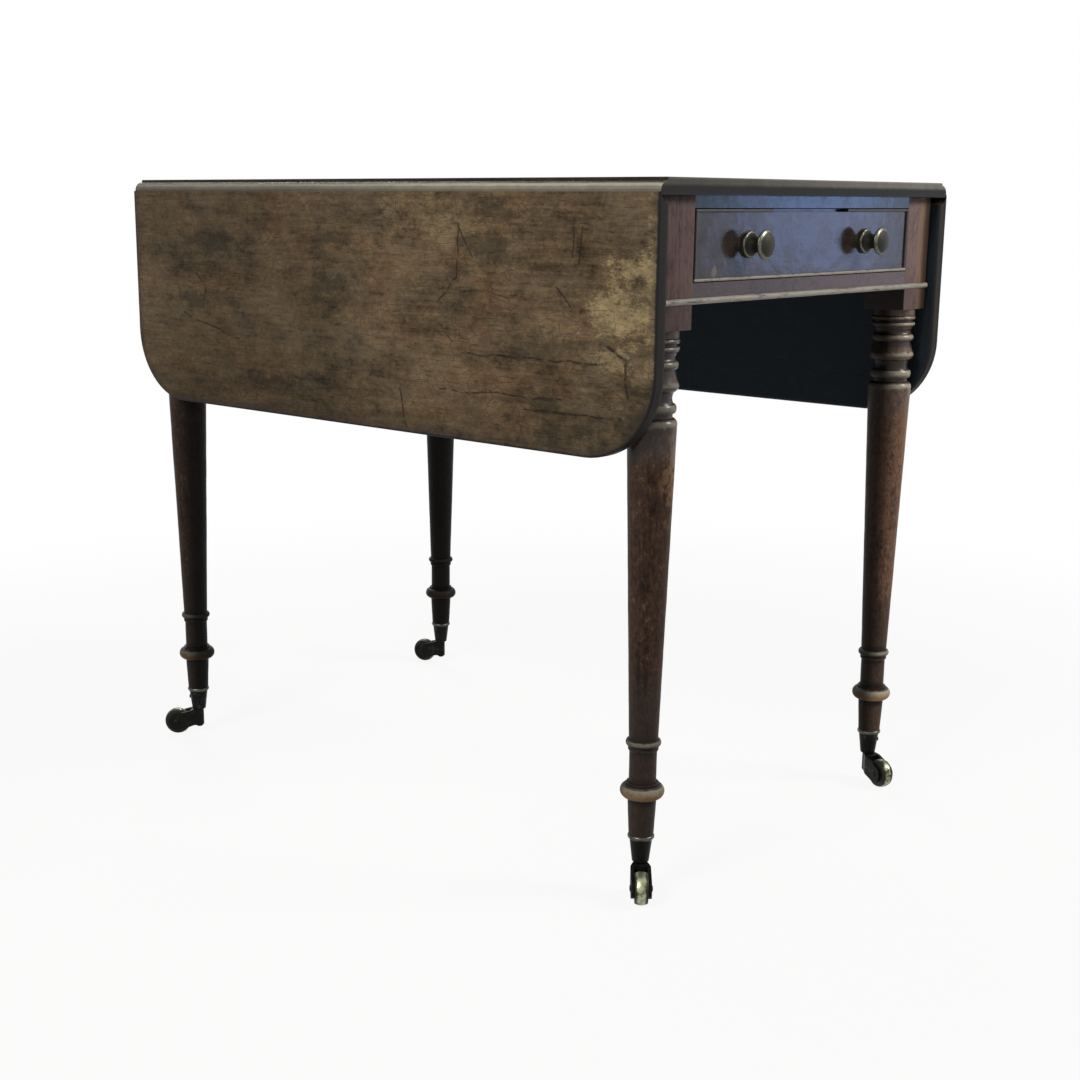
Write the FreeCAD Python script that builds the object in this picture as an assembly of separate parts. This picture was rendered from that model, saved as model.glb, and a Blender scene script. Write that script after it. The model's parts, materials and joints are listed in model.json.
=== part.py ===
import FreeCAD, Part

import math
import os

Vector = FreeCAD.Vector
UP = Vector(0, 0, 1)
ALONG = Vector(0, 1, 0)

# A drop-leaf table on casters. X runs across the hinges, Y runs along them and Z is up.
# The origin is on the floor under the middle, and the drawer faces -Y. Sizes are in millimetres.

# Boards
overall_height = 720.0
top_length = 811.0
top_width = 522.0
board_thickness = 16.0
leaf_reach = 253.0
leaf_corner_radius = 85.0
edge_round = 2.0
edge_under_round = 4.0

# Rule joints, where the round edge of the top turns inside the hollow edge of a leaf
joint_step = 3.0
joint_clearance = 0.4
hinge_pin_inset = 3.0

# Hinges under each rule joint
hinge_count = 3
hinge_end_distance = 110.0
hinge_width = 36.0
hinge_plate = 1.8
hinge_knuckle_radius = 2.6
hinge_pin_radius = 1.2
hinge_top_length = 34.0
hinge_leaf_length = 52.0
hinge_clearance = 0.5
hinge_screw_radius = 1.5
hinge_screw_head = 3.2
hinge_screw_length = 11.0
hinge_screw_spacing = 13.0

# Legs, with the turnings named from the square block down to the long taper
leg_block = 50.0
leg_leaf_gap = 3.0
end_overhang = 10.5
frieze_height = 102.0
leg_block_drop = 24.0
leg_neck_height = 7.2
leg_neck_radius = 24.2
ring_root_radius = 22.2
twin_ring_height = 5.6
twin_ring_gap = 1.8
twin_ring_radius = 24.8
upper_hollow_height = 7.0
upper_hollow_radius = 20.6
middle_ring_height = 7.6
middle_ring_radius = 24.0
vase_neck_radius = 20.9
vase_flare_height = 15.9
vase_waist_radius = 22.6
vase_radius = 25.2
vase_turn_height = 6.5
vase_turn_radius = 24.2
lower_hollow_height = 11.8
lower_hollow_radius = 18.9
lower_hollow_root = 20.4
collar_ring_height = 8.2
collar_ring_radius = 23.4
collar_neck_height = 4.5
collar_neck_radius = 19.8
shoulder_height = 8.5
shoulder_radius = 24.4

# Leg turnings between the long taper and the caster cup, named from the taper down
ankle_radius = 14.9
ankle_ring_height = 7.4
ankle_ring_radius = 18.1
ankle_ring_root = 15.6
small_ring_height = 5.2
small_ring_radius = 15.6
small_ring_root = 14.5
shaft_height = 33.4
shaft_radius = 14.0
ball_collar_height = 2.4
ball_collar_radius = 16.5
ball_height = 14.4
ball_radius = 22.7
ball_top_radius = 18.0
ball_bottom_radius = 16.0
foot_height = 40.2
foot_top_radius = 14.8
foot_radius = 12.8

# Rails that tie the legs
rail_thickness = 18.0
end_rail_thickness = 22.0
top_rail_height = 12.0
bottom_rail_height = 20.0
bottom_rail_depth = 48.0
tenon_thickness = 8.0
tenon_length = 26.0
tenon_shoulder = 8.0
tenon_clearance = 0.1
end_tenon_setback = 5.0
bead_radius = 3.0

# Fly rails and the brackets that swing out under the raised leaves
fly_thickness = 18.0
fly_drop = 6.0
bracket_length = 150.0
bracket_leg_gap = 7.0
bracket_side_gap = 0.3
bracket_tip_height = 36.0
bracket_root_length = 58.0
bracket_curve_bulge = 9.0
bracket_grip_bevel = 13.0
knuckle_fingers = 5
knuckle_gap = 0.4
bracket_pin_radius = 2.5

# Drawer
drawer_side_gap = 1.5
drawer_height_gap = 0.8
drawer_recess = 1.0
drawer_front_thickness = 20.0
drawer_side_thickness = 9.0
drawer_bottom_thickness = 6.0
drawer_bottom_lift = 8.0
drawer_length = 560.0
drawer_groove = 4.0
drawer_lap = 2.0
drawer_top_gap = 1.0
running_gap = 0.3
cockbead_thickness = 3.2
cockbead_depth = 6.0
cockbead_projection = 2.0
cockbead_round = 1.3
cockbead_break = 144.0
dovetail_count = 3
dovetail_taper = 2.0
runner_width = 18.0
kicker_width = 16.0
kicker_height = 18.0
stop_length = 40.0
stop_depth = 14.0
stop_height = 6.0
stop_inset = 70.0

# Knobs
knob_spread = 224.0
knob_projection = 25.6
knob_base_radius = 13.3
knob_base_height = 4.4
knob_neck_radius = 7.6
knob_neck_height = 14.2
knob_neck_flare = 3.4
knob_head_radius = 14.6
knob_rim_round = 1.3
knob_dome_height = 3.2
knob_shank_radius = 3.5
knob_nut_width = 13.0
knob_nut_height = 5.0
dummy_shank_length = 16.0

# Screws and blocks that hold the top
top_screw_count = 3
top_screw_radius = 2.2
top_screw_head = 4.4
top_screw_bite = 9.0
glue_block_length = 70.0
glue_block_size = 16.0
glue_block_spread = 190.0

# Casters
wheel_radius = 17.0
wheel_width = 13.5
wheel_crown = 1.8
wheel_rim = 2.6
wheel_dish = 1.2
wheel_hub_rim = 1.8
wheel_side_gap = 0.4
wheel_end_gap = 1.2
caster_trail = 29.0
cheek_thickness = 3.4
cheek_radius = 10.5
axle_radius = 2.5
axle_head_radius = 4.2
axle_head_height = 1.3
running_fit = 0.05
cup_top = 64.7
cup_bottom = 35.0
cup_rim_height = 3.8
cup_rim_radius = 13.9
cup_rim_round = 0.8
cup_shoulder_radius = 11.8
cup_tip_radius = 8.8
cup_tip_round = 1.2
cup_wall = 1.4
cup_floor = 6.0
horn_boss_radius = 6.0
horn_bottom = 13.0
swivel_pin_radius = 3.0
swivel_head_radius = 4.8
swivel_head_height = 2.2
swivel_head_bevel = 1.2
cup_screw_radius = 1.4
cup_screw_head = 2.4
cup_screw_head_height = 1.4
cup_screw_sink = 0.6
cup_screw_length = 7.0
cup_screw_drop = 13.0
caster_turns = {
    "front_left": -139.7,
    "front_right": -115.8,
    "back_left": 129.4,
    "back_right": 102.8,
}

# Places worked out from the sizes above
spare = 1.0
hole_clearance = 0.05
pole_flat = 0.6
half_length = top_length / 2
top_under = overall_height - board_thickness
hinge_x = top_width / 2
hinge_z = top_under + hinge_pin_inset
joint_radius = board_thickness - joint_step - hinge_pin_inset
hollow_radius = joint_radius + joint_clearance
leaf_inner_x = hinge_x - hinge_pin_inset
leg_outer_x = leaf_inner_x - leg_leaf_gap
leg_inner_x = leg_outer_x - leg_block
leg_x = leg_outer_x - leg_block / 2
leg_outer_y = half_length - end_overhang
leg_inner_y = leg_outer_y - leg_block
leg_y = leg_outer_y - leg_block / 2
frieze_bottom = top_under - frieze_height
block_bottom = frieze_bottom - leg_block_drop
opening_bottom = frieze_bottom + bottom_rail_height
opening_top = top_under - top_rail_height
fly_inner_x = leg_inner_x + rail_thickness
fly_outer_x = fly_inner_x + fly_thickness
fly_top = top_under - fly_drop
bracket_pin_x = fly_inner_x + fly_thickness / 2
bracket_pin_y = leg_inner_y - bracket_leg_gap - bracket_length
bracket_half = fly_thickness / 2 - bracket_side_gap
drawer_half = leg_inner_x - drawer_side_gap
drawer_face_y = -leg_outer_y + drawer_recess
drawer_low = opening_bottom + drawer_height_gap
drawer_high = opening_top - drawer_height_gap
side_low = opening_bottom + running_gap
kicker_low = top_under - kicker_height
side_high = kicker_low - drawer_top_gap
drawer_back_y = drawer_face_y + drawer_length
knob_z = (opening_bottom + opening_top) / 2
ankle_height = ankle_ring_height + small_ring_height + shaft_height + ball_collar_height
taper_bottom = cup_top + foot_height + ball_height + ankle_height
fork_half = wheel_width / 2 + wheel_side_gap + cheek_thickness
horn_top = cup_bottom - running_gap
corners = [(side, end) for end in ("front", "back") for side in ("left", "right")]
sign_of = {"left": -1, "right": 1, "front": -1, "back": 1}


class Outline:
    """A closed flat outline, drawn point by point with lines and three-point arcs."""

    def __init__(self, plane, first, second):
        self.plane = plane
        self.first = self.spot(first, second)
        self.last = self.first
        self.edges = []

    def spot(self, first, second):
        values = {"x": 0.0, "y": 0.0, "z": 0.0}
        values[self.plane[0]] = first
        values[self.plane[1]] = second
        return Vector(values["x"], values["y"], values["z"])

    def line(self, first, second):
        end = self.spot(first, second)
        self.edges.append(Part.LineSegment(self.last, end).toShape())
        self.last = end
        return self

    def arc(self, through, end):
        middle = self.spot(*through)
        end = self.spot(*end)
        self.edges.append(Part.Arc(self.last, middle, end).toShape())
        self.last = end
        return self

    def face(self):
        edges = list(self.edges)
        if self.last.distanceToPoint(self.first) > 1e-6:
            edges.append(Part.LineSegment(self.last, self.first).toShape())
        return Part.Face(Part.Wire(edges))

    def turned(self, axis=UP):
        return self.face().revolve(Vector(0, 0, 0), axis, 360)


def block(x_range, y_range, z_range):
    low = Vector(min(x_range), min(y_range), min(z_range))
    high = Vector(max(x_range), max(y_range), max(z_range))
    size = high - low
    return Part.makeBox(size.x, size.y, size.z, low)


def rod(start, end, radius):
    run = end - start
    return Part.makeCylinder(radius, run.Length, start, run)


def join(shapes):
    joined = shapes[0]
    for shape in shapes[1:]:
        joined = joined.fuse(shape)
    return joined.removeSplitter()


def mirror_side(shape):
    return shape.mirror(Vector(0, 0, 0), Vector(1, 0, 0))


def mirror_end(shape):
    return shape.mirror(Vector(0, 0, 0), Vector(0, 1, 0))


def at_corner(shape, side, end):
    if side == "left":
        shape = mirror_side(shape)
    if end == "front":
        shape = mirror_end(shape)
    return shape


def on_sides(shape):
    return {"left": mirror_side(shape), "right": shape}


def aim(shape, position, direction):
    aimed = shape.copy()
    aimed.Placement = FreeCAD.Placement(position, FreeCAD.Rotation(UP, direction))
    return aimed


def lower_leaf(shape):
    """Swings a piece drawn with the right leaf raised down to where the leaf hangs."""
    hanging = shape.copy()
    hanging.rotate(Vector(hinge_x, 0, hinge_z), ALONG, 90)
    return hanging


def wood_screw(radius, head, length, clearance=0.0):
    """A countersunk screw with its head at the origin and its point up."""
    shank = radius + clearance
    wide = head + clearance
    outline = Outline("xz", 0, 0).line(wide, 0).line(shank, wide - shank)
    outline.line(shank, length - 2 * radius).line(shank / 4, length + clearance)
    return outline.line(0, length + clearance).turned()


def spread(count, reach):
    """Even places from -reach to reach."""
    if count == 1:
        return [0.0]
    return [-reach + 2 * reach * index / (count - 1) for index in range(count)]


hinge_places = spread(hinge_count, half_length - hinge_end_distance)


def hinge_screw_spots(start):
    """Screw places along a hinge plate, from a distance beyond the pin, on both sides of it."""
    return [(start + hinge_screw_spacing * row, y) for y in hinge_places for row in range(2)]


top_screw_start = -hinge_top_length + hinge_screw_head + 2 * spare
leaf_screw_start = hinge_leaf_length - hinge_screw_head - 2 * spare - hinge_screw_spacing
top_hinge_spots = hinge_screw_spots(top_screw_start)
leaf_hinge_spots = hinge_screw_spots(leaf_screw_start)


def hinge_screws(spots, clearance=0.0):
    screw = wood_screw(hinge_screw_radius, hinge_screw_head, hinge_screw_length, clearance)
    return [aim(screw, Vector(hinge_x + x, y, top_under), UP) for x, y in spots]


def hinge_knuckle(y, low, high, radius):
    start = Vector(hinge_x, y + low, hinge_z)
    return rod(start, start + ALONG * (high - low), radius)


middle_half = hinge_width / 6
plate_top = top_under + hinge_plate


def top_hinge_plate(y):
    plate = block(
        (hinge_x - hinge_top_length, hinge_x),
        (y - hinge_width / 2, y + hinge_width / 2),
        (top_under, plate_top),
    )
    room = middle_half + hinge_clearance
    near = hinge_knuckle(y, -hinge_width / 2, -room, hinge_knuckle_radius)
    far = hinge_knuckle(y, room, hinge_width / 2, hinge_knuckle_radius)
    gap = block(
        (hinge_x - hinge_pin_inset - hinge_clearance, hinge_x + spare),
        (y - room, y + room),
        (top_under - spare, hinge_z + hinge_knuckle_radius),
    )
    bore = hinge_knuckle(y, -hinge_width, hinge_width, hinge_pin_radius + running_fit)
    return join([plate, near, far]).cut(gap).cut(bore)


def leaf_hinge_plate(y):
    tongue_end = hinge_x + hollow_radius + 2 * hinge_plate
    tongue = block(
        (hinge_x, tongue_end), (y - middle_half, y + middle_half), (top_under, plate_top)
    )
    plate = block(
        (hinge_x + hollow_radius + hinge_plate, hinge_x + hinge_leaf_length),
        (y - hinge_width / 2, y + hinge_width / 2),
        (top_under, plate_top),
    )
    knuckle = hinge_knuckle(y, -middle_half, middle_half, hinge_knuckle_radius)
    bore = hinge_knuckle(y, -hinge_width, hinge_width, hinge_pin_radius + running_fit)
    return join([tongue, plate, knuckle]).cut(bore)


def hinge_pin(y):
    return hinge_knuckle(y, -hinge_width / 2, hinge_width / 2, hinge_pin_radius)


def hinge_housing(y):
    """What is cut from the right edge of the top to let one hinge in and its tongue swing."""
    plate = block(
        (hinge_x - hinge_top_length, hinge_x),
        (y - hinge_width / 2, y + hinge_width / 2),
        (top_under - spare, plate_top),
    )
    half = hinge_width / 2 + hinge_clearance
    groove = hinge_knuckle(y, -half, half, hinge_pin_inset + hinge_clearance)
    room = middle_half + hinge_clearance
    swing = block(
        (hinge_x - hinge_pin_inset - hinge_clearance, hinge_x + joint_radius + spare),
        (y - room, y + room),
        (top_under - spare, plate_top + hinge_clearance),
    )
    mouth = block(
        (hinge_x - hinge_pin_inset - hinge_clearance, hinge_x + hinge_pin_inset + hinge_clearance),
        (y - half, y + half),
        (top_under - spare, hinge_z),
    )
    return [plate, groove, swing, mouth]


def round_corner(centre, radius):
    """The middle and the end of a quarter round that starts level with its centre."""
    diagonal = radius * math.sqrt(0.5)
    first, second = centre
    return (first + diagonal, second + diagonal), (first, second + radius)


def top_board():
    edge_x = hinge_x + joint_radius
    toe_x = hinge_x + math.sqrt(joint_radius**2 - hinge_pin_inset**2)
    through, crown = round_corner((hinge_x, hinge_z), joint_radius)
    outline = Outline("xz", -toe_x, top_under).line(toe_x, top_under).arc(through, crown)
    outline.line(hinge_x, overall_height).line(-hinge_x, overall_height)
    outline.line(-hinge_x, crown[1]).arc((-through[0], through[1]), (-toe_x, top_under))
    board = outline.face().extrude(ALONG * top_length)
    board.translate(ALONG * -half_length)
    foot = overall_height - edge_round
    through, crown = round_corner((half_length - edge_round, foot), edge_round)
    above = overall_height + spare
    beyond = half_length + spare
    waste = Outline("yz", crown[0], above).line(beyond, above).line(beyond, foot)
    waste.line(half_length, foot).arc(through, crown)
    waste = waste.face().extrude(Vector(2 * (edge_x + spare), 0, 0))
    waste.translate(Vector(-edge_x - spare, 0, 0))
    cuts = [waste, mirror_end(waste)]
    housings = [piece for y in hinge_places for piece in hinge_housing(y)]
    housings += hinge_screws(top_hinge_spots, hole_clearance)
    cuts += housings + [mirror_side(piece) for piece in housings]
    cuts += top_screws(hole_clearance)
    return board.cut(cuts)


def leaf_slab():
    """The right leaf, raised and square-edged, with its rounded corners."""
    start = hinge_x + joint_clearance
    end = hinge_x + leaf_reach
    radius = leaf_corner_radius
    lean = radius * (1 - math.sqrt(0.5))
    outline = Outline("xy", start, -half_length).line(end - radius, -half_length)
    outline.arc((end - lean, lean - half_length), (end, radius - half_length))
    outline.line(end, half_length - radius)
    outline.arc((end - lean, half_length - lean), (end - radius, half_length))
    outline.line(start, half_length)
    slab = outline.face().extrude(UP * board_thickness)
    slab.translate(UP * top_under)
    return slab


def free_edges(slab, height):
    """The edges at one height that run round a leaf, without the one at the hinge."""
    start = hinge_x + joint_clearance
    edges = []
    for edge in slab.Edges:
        ends = [vertex.Point for vertex in edge.Vertexes]
        level = all(abs(point.z - height) < 1e-6 for point in ends)
        hinged = all(abs(point.x - start) < 1e-6 for point in ends)
        if level and not hinged:
            edges.append(edge)
    return edges


def raised_leaf():
    slab = leaf_slab()
    slab = slab.makeFillet(edge_round, free_edges(slab, overall_height))
    slab = slab.makeFillet(edge_under_round, free_edges(slab, top_under))
    reach = half_length + spare
    hollow = rod(Vector(hinge_x, -reach, hinge_z), Vector(hinge_x, reach, hinge_z), hollow_radius)
    heel = block(
        (hinge_x - spare, hinge_x + hollow_radius), (-reach, reach), (top_under - spare, hinge_z)
    )
    cuts = [hollow, heel]
    for y in hinge_places:
        cuts.append(
            block(
                (hinge_x, hinge_x + hinge_leaf_length),
                (y - hinge_width / 2, y + hinge_width / 2),
                (top_under - spare, plate_top),
            )
        )
    cuts += hinge_screws(leaf_hinge_spots, hole_clearance)
    return slab.cut(cuts)


def rail_tenons(clearance=0.0):
    """The tenons at the back of the right inner rail, mirrored to the front."""
    middle = leg_inner_x + rail_thickness / 2
    half = tenon_thickness / 2 + clearance
    tenon = block(
        (middle - half, middle + half),
        (leg_inner_y - spare, leg_inner_y + tenon_length + clearance),
        (frieze_bottom + tenon_shoulder - clearance, top_under - tenon_shoulder + clearance),
    )
    return [tenon, mirror_end(tenon)]


def inner_rail():
    body = block(
        (leg_inner_x, fly_inner_x), (-leg_inner_y, leg_inner_y), (frieze_bottom, top_under)
    )
    return join([body] + rail_tenons())


def end_tenons(end, low, high, clearance=0.0):
    """A pair of tenons for a rail that runs across one end of the frame."""
    sign = sign_of[end]
    outer = leg_outer_y - end_tenon_setback + clearance
    inner = leg_outer_y - end_tenon_setback - tenon_thickness - clearance
    tenon = block(
        (leg_inner_x - spare, leg_inner_x + tenon_length + clearance),
        (sign * inner, sign * outer),
        (low - clearance, high + clearance),
    )
    return [tenon, mirror_side(tenon)]


top_rail_tenon = (opening_top + top_rail_height / 4, top_under - top_rail_height / 4)
bottom_rail_tenon = (
    frieze_bottom + bottom_rail_height / 4,
    opening_bottom - bottom_rail_height / 4,
)
back_rail_tenon = (frieze_bottom + tenon_shoulder, top_under - tenon_shoulder)


def end_rail(end, depth, low, high, tenon):
    sign = sign_of[end]
    body = block(
        (-leg_inner_x, leg_inner_x),
        (sign * (leg_outer_y - depth), sign * leg_outer_y),
        (low, high),
    )
    return join([body] + end_tenons(end, *tenon))


def frieze_bead():
    """The half-round bead across the front of the frieze and the legs."""
    height = frieze_bottom + bead_radius
    bead = rod(
        Vector(-leg_outer_x, -leg_outer_y, height),
        Vector(leg_outer_x, -leg_outer_y, height),
        bead_radius,
    )
    back = block(
        (-leg_outer_x - spare, leg_outer_x + spare),
        (-leg_outer_y, -leg_outer_y + bead_radius + spare),
        (height - bead_radius - spare, height + bead_radius + spare),
    )
    return bead.cut(back)


class Turning(Outline):
    """Half of a turned profile, drawn downwards beside the Z axis."""

    def __init__(self, radius, height):
        super().__init__("xz", 0, height)
        self.line(radius, height)

    def step(self, radius):
        """Straight in or out to another radius."""
        return self.line(radius, self.last.z)

    def fall(self, drop):
        """Straight down."""
        return self.line(self.last.x, self.last.z - drop)

    def swell(self, drop, radius, root):
        """Round out, or in, to a radius half way down, and back to a root."""
        return self.arc((radius, self.last.z - drop / 2), (root, self.last.z - drop))

    def shoulder(self, drop, radius):
        """Round out to a wider radius."""
        start = self.last
        across = (radius - start.x) * math.sqrt(0.5)
        down = drop * (1 - math.sqrt(0.5))
        return self.arc((start.x + across, start.z - down), (radius, start.z - drop))


def leg_outline():
    """Half of a leg's turned profile, from the square block down to the end inside the cup."""
    column = Turning(leg_neck_radius, block_bottom + spare)
    column.fall(spare + leg_neck_height).step(ring_root_radius)
    for _ in range(2):
        column.swell(twin_ring_height, twin_ring_radius, ring_root_radius).fall(twin_ring_gap)
    column.swell(upper_hollow_height, upper_hollow_radius, ring_root_radius)
    column.swell(middle_ring_height, middle_ring_radius, ring_root_radius).step(vase_neck_radius)
    column.swell(vase_flare_height, vase_waist_radius, vase_radius)
    column.swell(vase_turn_height, vase_turn_radius, lower_hollow_root)
    column.swell(lower_hollow_height, lower_hollow_radius, lower_hollow_root)
    column.step(ring_root_radius).swell(collar_ring_height, collar_ring_radius, ring_root_radius)
    column.step(collar_neck_radius).fall(collar_neck_height)
    column.shoulder(shoulder_height, shoulder_radius).line(ankle_radius, taper_bottom)
    column.step(ankle_ring_root).swell(ankle_ring_height, ankle_ring_radius, ankle_ring_root)
    column.step(small_ring_root).swell(small_ring_height, small_ring_radius, small_ring_root)
    column.step(shaft_radius).fall(shaft_height)
    column.step(ball_collar_radius).fall(ball_collar_height)
    column.step(ball_top_radius).swell(ball_height, ball_radius, ball_bottom_radius)
    column.step(foot_top_radius).line(foot_radius, cup_top)
    column.step(cup_shoulder_radius - cup_wall)
    tip = cup_bottom + cup_floor + swivel_head_height + 2 * running_gap
    return column.line(cup_tip_radius - cup_wall, tip).step(0)


def leg(side, end):
    """A leg, with mortises for the rails that meet it, drawn at the back right."""
    column = leg_outline().turned()
    square = block(
        (-leg_block / 2, leg_block / 2), (-leg_block / 2, leg_block / 2), (block_bottom, top_under)
    )
    body = join([column, square])
    body.translate(Vector(sign_of[side] * leg_x, sign_of[end] * leg_y, 0))
    mortises = rail_tenons(tenon_clearance)
    mortises += [mirror_side(piece) for piece in mortises]
    rails = [back_rail_tenon] if end == "back" else [top_rail_tenon, bottom_rail_tenon]
    for low, high in rails:
        mortises += end_tenons(end, low, high, tenon_clearance)
    mortises.append(aim(cup_screw(hole_clearance), *cup_screw_seat(side, end)))
    return body.cut(mortises)


def finger_levels(moving):
    """Heights of the knuckle fingers that belong to the bracket, or to the fixed rail."""
    pitch = (fly_top - frieze_bottom) / knuckle_fingers
    first = 1 if moving else 0
    for index in range(first, knuckle_fingers, 2):
        yield frieze_bottom + pitch * index, frieze_bottom + pitch * (index + 1)


def knuckle_column(low, high, radius):
    return rod(
        Vector(bracket_pin_x, bracket_pin_y, low), Vector(bracket_pin_x, bracket_pin_y, high), radius
    )


pin_bore = knuckle_column(frieze_bottom - spare, fly_top + spare, bracket_pin_radius + running_fit)
knuckle_room = fly_thickness / 2 + knuckle_gap


def fly_rail():
    """The fixed middle of the right fly rail, with half of a knuckle joint at each end.

    The outer corners are cut away, so that a bracket can swing out square to the rail.
    """
    rail = block(
        (fly_inner_x, fly_outer_x), (-bracket_pin_y, bracket_pin_y), (frieze_bottom, fly_top)
    )
    swing = block(
        (bracket_pin_x, fly_outer_x + spare),
        (bracket_pin_y - knuckle_room, bracket_pin_y + spare),
        (frieze_bottom - spare, fly_top + spare),
    )
    rail = rail.cut([swing, mirror_end(swing)])
    fingers = [knuckle_column(frieze_bottom, fly_top, fly_thickness / 2)]
    slots = [pin_bore]
    for low, high in finger_levels(moving=True):
        slots.append(knuckle_column(low - knuckle_gap / 2, high + knuckle_gap / 2, knuckle_room))
    rail = join([rail] + fingers + [mirror_end(piece) for piece in fingers])
    return rail.cut(slots + [mirror_end(piece) for piece in slots])


def fly_bracket():
    """The right back bracket, closed against the inner rail, with its tip towards the leg."""
    tip_y = bracket_pin_y + bracket_length
    tip_z = fly_top - bracket_tip_height
    root_y = bracket_pin_y + bracket_root_length
    middle_y = (tip_y + root_y) / 2
    middle_z = (tip_z + frieze_bottom) / 2
    length = math.hypot(tip_y - root_y, tip_z - frieze_bottom)
    across_y = (tip_z - frieze_bottom) / length * bracket_curve_bulge
    across_z = (tip_y - root_y) / length * bracket_curve_bulge
    upper = ((tip_y + middle_y) / 2 - across_y, (tip_z + middle_z) / 2 + across_z)
    lower = ((middle_y + root_y) / 2 + across_y, (middle_z + frieze_bottom) / 2 - across_z)
    outline = Outline("yz", bracket_pin_y, fly_top).line(tip_y, fly_top).line(tip_y, tip_z)
    outline.arc(upper, (middle_y, middle_z)).arc(lower, (root_y, frieze_bottom))
    outline.line(bracket_pin_y, frieze_bottom)
    arm = outline.face().extrude(Vector(2 * bracket_half, 0, 0))
    arm.translate(Vector(bracket_pin_x - bracket_half, 0, 0))
    outer = bracket_pin_x + bracket_half
    bevel = Outline("xy", outer + spare, tip_y - bracket_grip_bevel - spare)
    bevel.line(outer + spare, tip_y + spare).line(outer - bracket_grip_bevel - spare, tip_y + spare)
    bevel = bevel.face().extrude(UP * overall_height)
    cuts = [bevel, pin_bore]
    for low, high in finger_levels(moving=False):
        cuts.append(knuckle_column(low - knuckle_gap / 2, high + knuckle_gap / 2, knuckle_room))
    barrel = knuckle_column(frieze_bottom, fly_top, bracket_half)
    return join([arm, barrel]).cut(cuts)


def bracket_pin():
    return knuckle_column(frieze_bottom, fly_top, bracket_pin_radius)


def dovetails(side_sign, clearance=0.0):
    """Tails on the front of a drawer side, held in sockets in the drawer front."""
    outer = side_sign * drawer_half
    inner = side_sign * (drawer_half - drawer_side_thickness - clearance)
    root = drawer_face_y + drawer_front_thickness
    tip = drawer_face_y + cockbead_depth + drawer_lap - clearance
    pitch = (side_high - side_low) / dovetail_count
    tails = []
    for index in range(dovetail_count):
        middle = side_low + pitch * (index + 0.5)
        narrow = pitch / 4 + clearance
        wide = narrow + dovetail_taper
        tail = Outline("yz", root + spare, middle - narrow).line(root, middle - narrow)
        tail.line(tip, middle - wide).line(tip, middle + wide)
        tail.line(root, middle + narrow).line(root + spare, middle + narrow)
        tail = tail.face().extrude(Vector(outer - inner, 0, 0))
        tail.translate(Vector(inner, 0, 0))
        tails.append(tail)
    return tails


def cockbead_frame(face_y, thickness, depth):
    """Bounds of the four strips round a drawer front: bottom, top, left and right."""
    low, high = drawer_low, drawer_high
    back_y = face_y + depth
    front_y = face_y - cockbead_projection
    ends = (-drawer_half, drawer_half)
    sides = (low + thickness, high - thickness)
    return {
        "bottom": (ends, (front_y, back_y), (low, low + thickness)),
        "top": (ends, (front_y, back_y), (high - thickness, high)),
        "left": ((-drawer_half, -drawer_half + thickness), (front_y, back_y), sides),
        "right": ((drawer_half - thickness, drawer_half), (front_y, back_y), sides),
    }


def rounded_strip(bounds):
    """A strip of cockbead with its two long front edges rounded over."""
    strip = block(*bounds)
    front = min(bounds[1])
    edges = []
    for edge in strip.Edges:
        ends = [vertex.Point for vertex in edge.Vertexes]
        facing = all(abs(point.y - front) < 1e-6 for point in ends)
        if facing and edge.Length > 2 * cockbead_thickness:
            edges.append(edge)
    return strip.makeFillet(cockbead_round, edges)


def drawer_cockbead():
    """Strips let into the edges of the drawer front; the middle of the top one is broken away."""
    frame = cockbead_frame(drawer_face_y, cockbead_thickness, cockbead_depth)
    top = frame.pop("top")
    half_break = cockbead_break / 2
    strips = [rounded_strip(bounds) for bounds in frame.values()]
    strips.append(rounded_strip(((-drawer_half, -half_break), top[1], top[2])))
    strips.append(rounded_strip(((half_break, drawer_half), top[1], top[2])))
    return strips


def dummy_cockbead():
    frame = cockbead_frame(drawer_face_y, cockbead_thickness, cockbead_projection)
    return [mirror_end(rounded_strip(bounds)) for bounds in frame.values()]


def panel_groove():
    """The space that the drawer bottom takes, let into the front and the two sides."""
    half = drawer_half - drawer_side_thickness + drawer_groove
    low = side_low + drawer_bottom_lift
    return block(
        (-half, half),
        (drawer_face_y + drawer_front_thickness - drawer_groove, drawer_back_y),
        (low, low + drawer_bottom_thickness),
    )


def drawer_front():
    body = block(
        (-drawer_half, drawer_half),
        (drawer_face_y, drawer_face_y + drawer_front_thickness),
        (drawer_low, drawer_high),
    )
    frame = cockbead_frame(drawer_face_y, cockbead_thickness, cockbead_depth)
    cuts = [block(*bounds) for bounds in frame.values()]
    cuts += dovetails(1) + dovetails(-1) + [panel_groove()]
    for x in (-knob_spread / 2, knob_spread / 2):
        start = Vector(x, drawer_face_y - spare, knob_z)
        end = start + ALONG * (drawer_front_thickness + 2 * spare)
        cuts.append(rod(start, end, knob_shank_radius + hole_clearance))
    return body.cut(cuts)


def drawer_side():
    """The right side of the drawer box."""
    inner = drawer_half - drawer_side_thickness
    body = block(
        (inner, drawer_half),
        (drawer_face_y + drawer_front_thickness, drawer_back_y),
        (side_low, side_high),
    )
    return join([body] + dovetails(1)).cut(panel_groove())


def drawer_back():
    inner = drawer_half - drawer_side_thickness
    low = side_low + drawer_bottom_lift + drawer_bottom_thickness
    return block(
        (-inner, inner),
        (drawer_back_y - drawer_side_thickness, drawer_back_y),
        (low, side_high - drawer_top_gap),
    )


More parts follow.
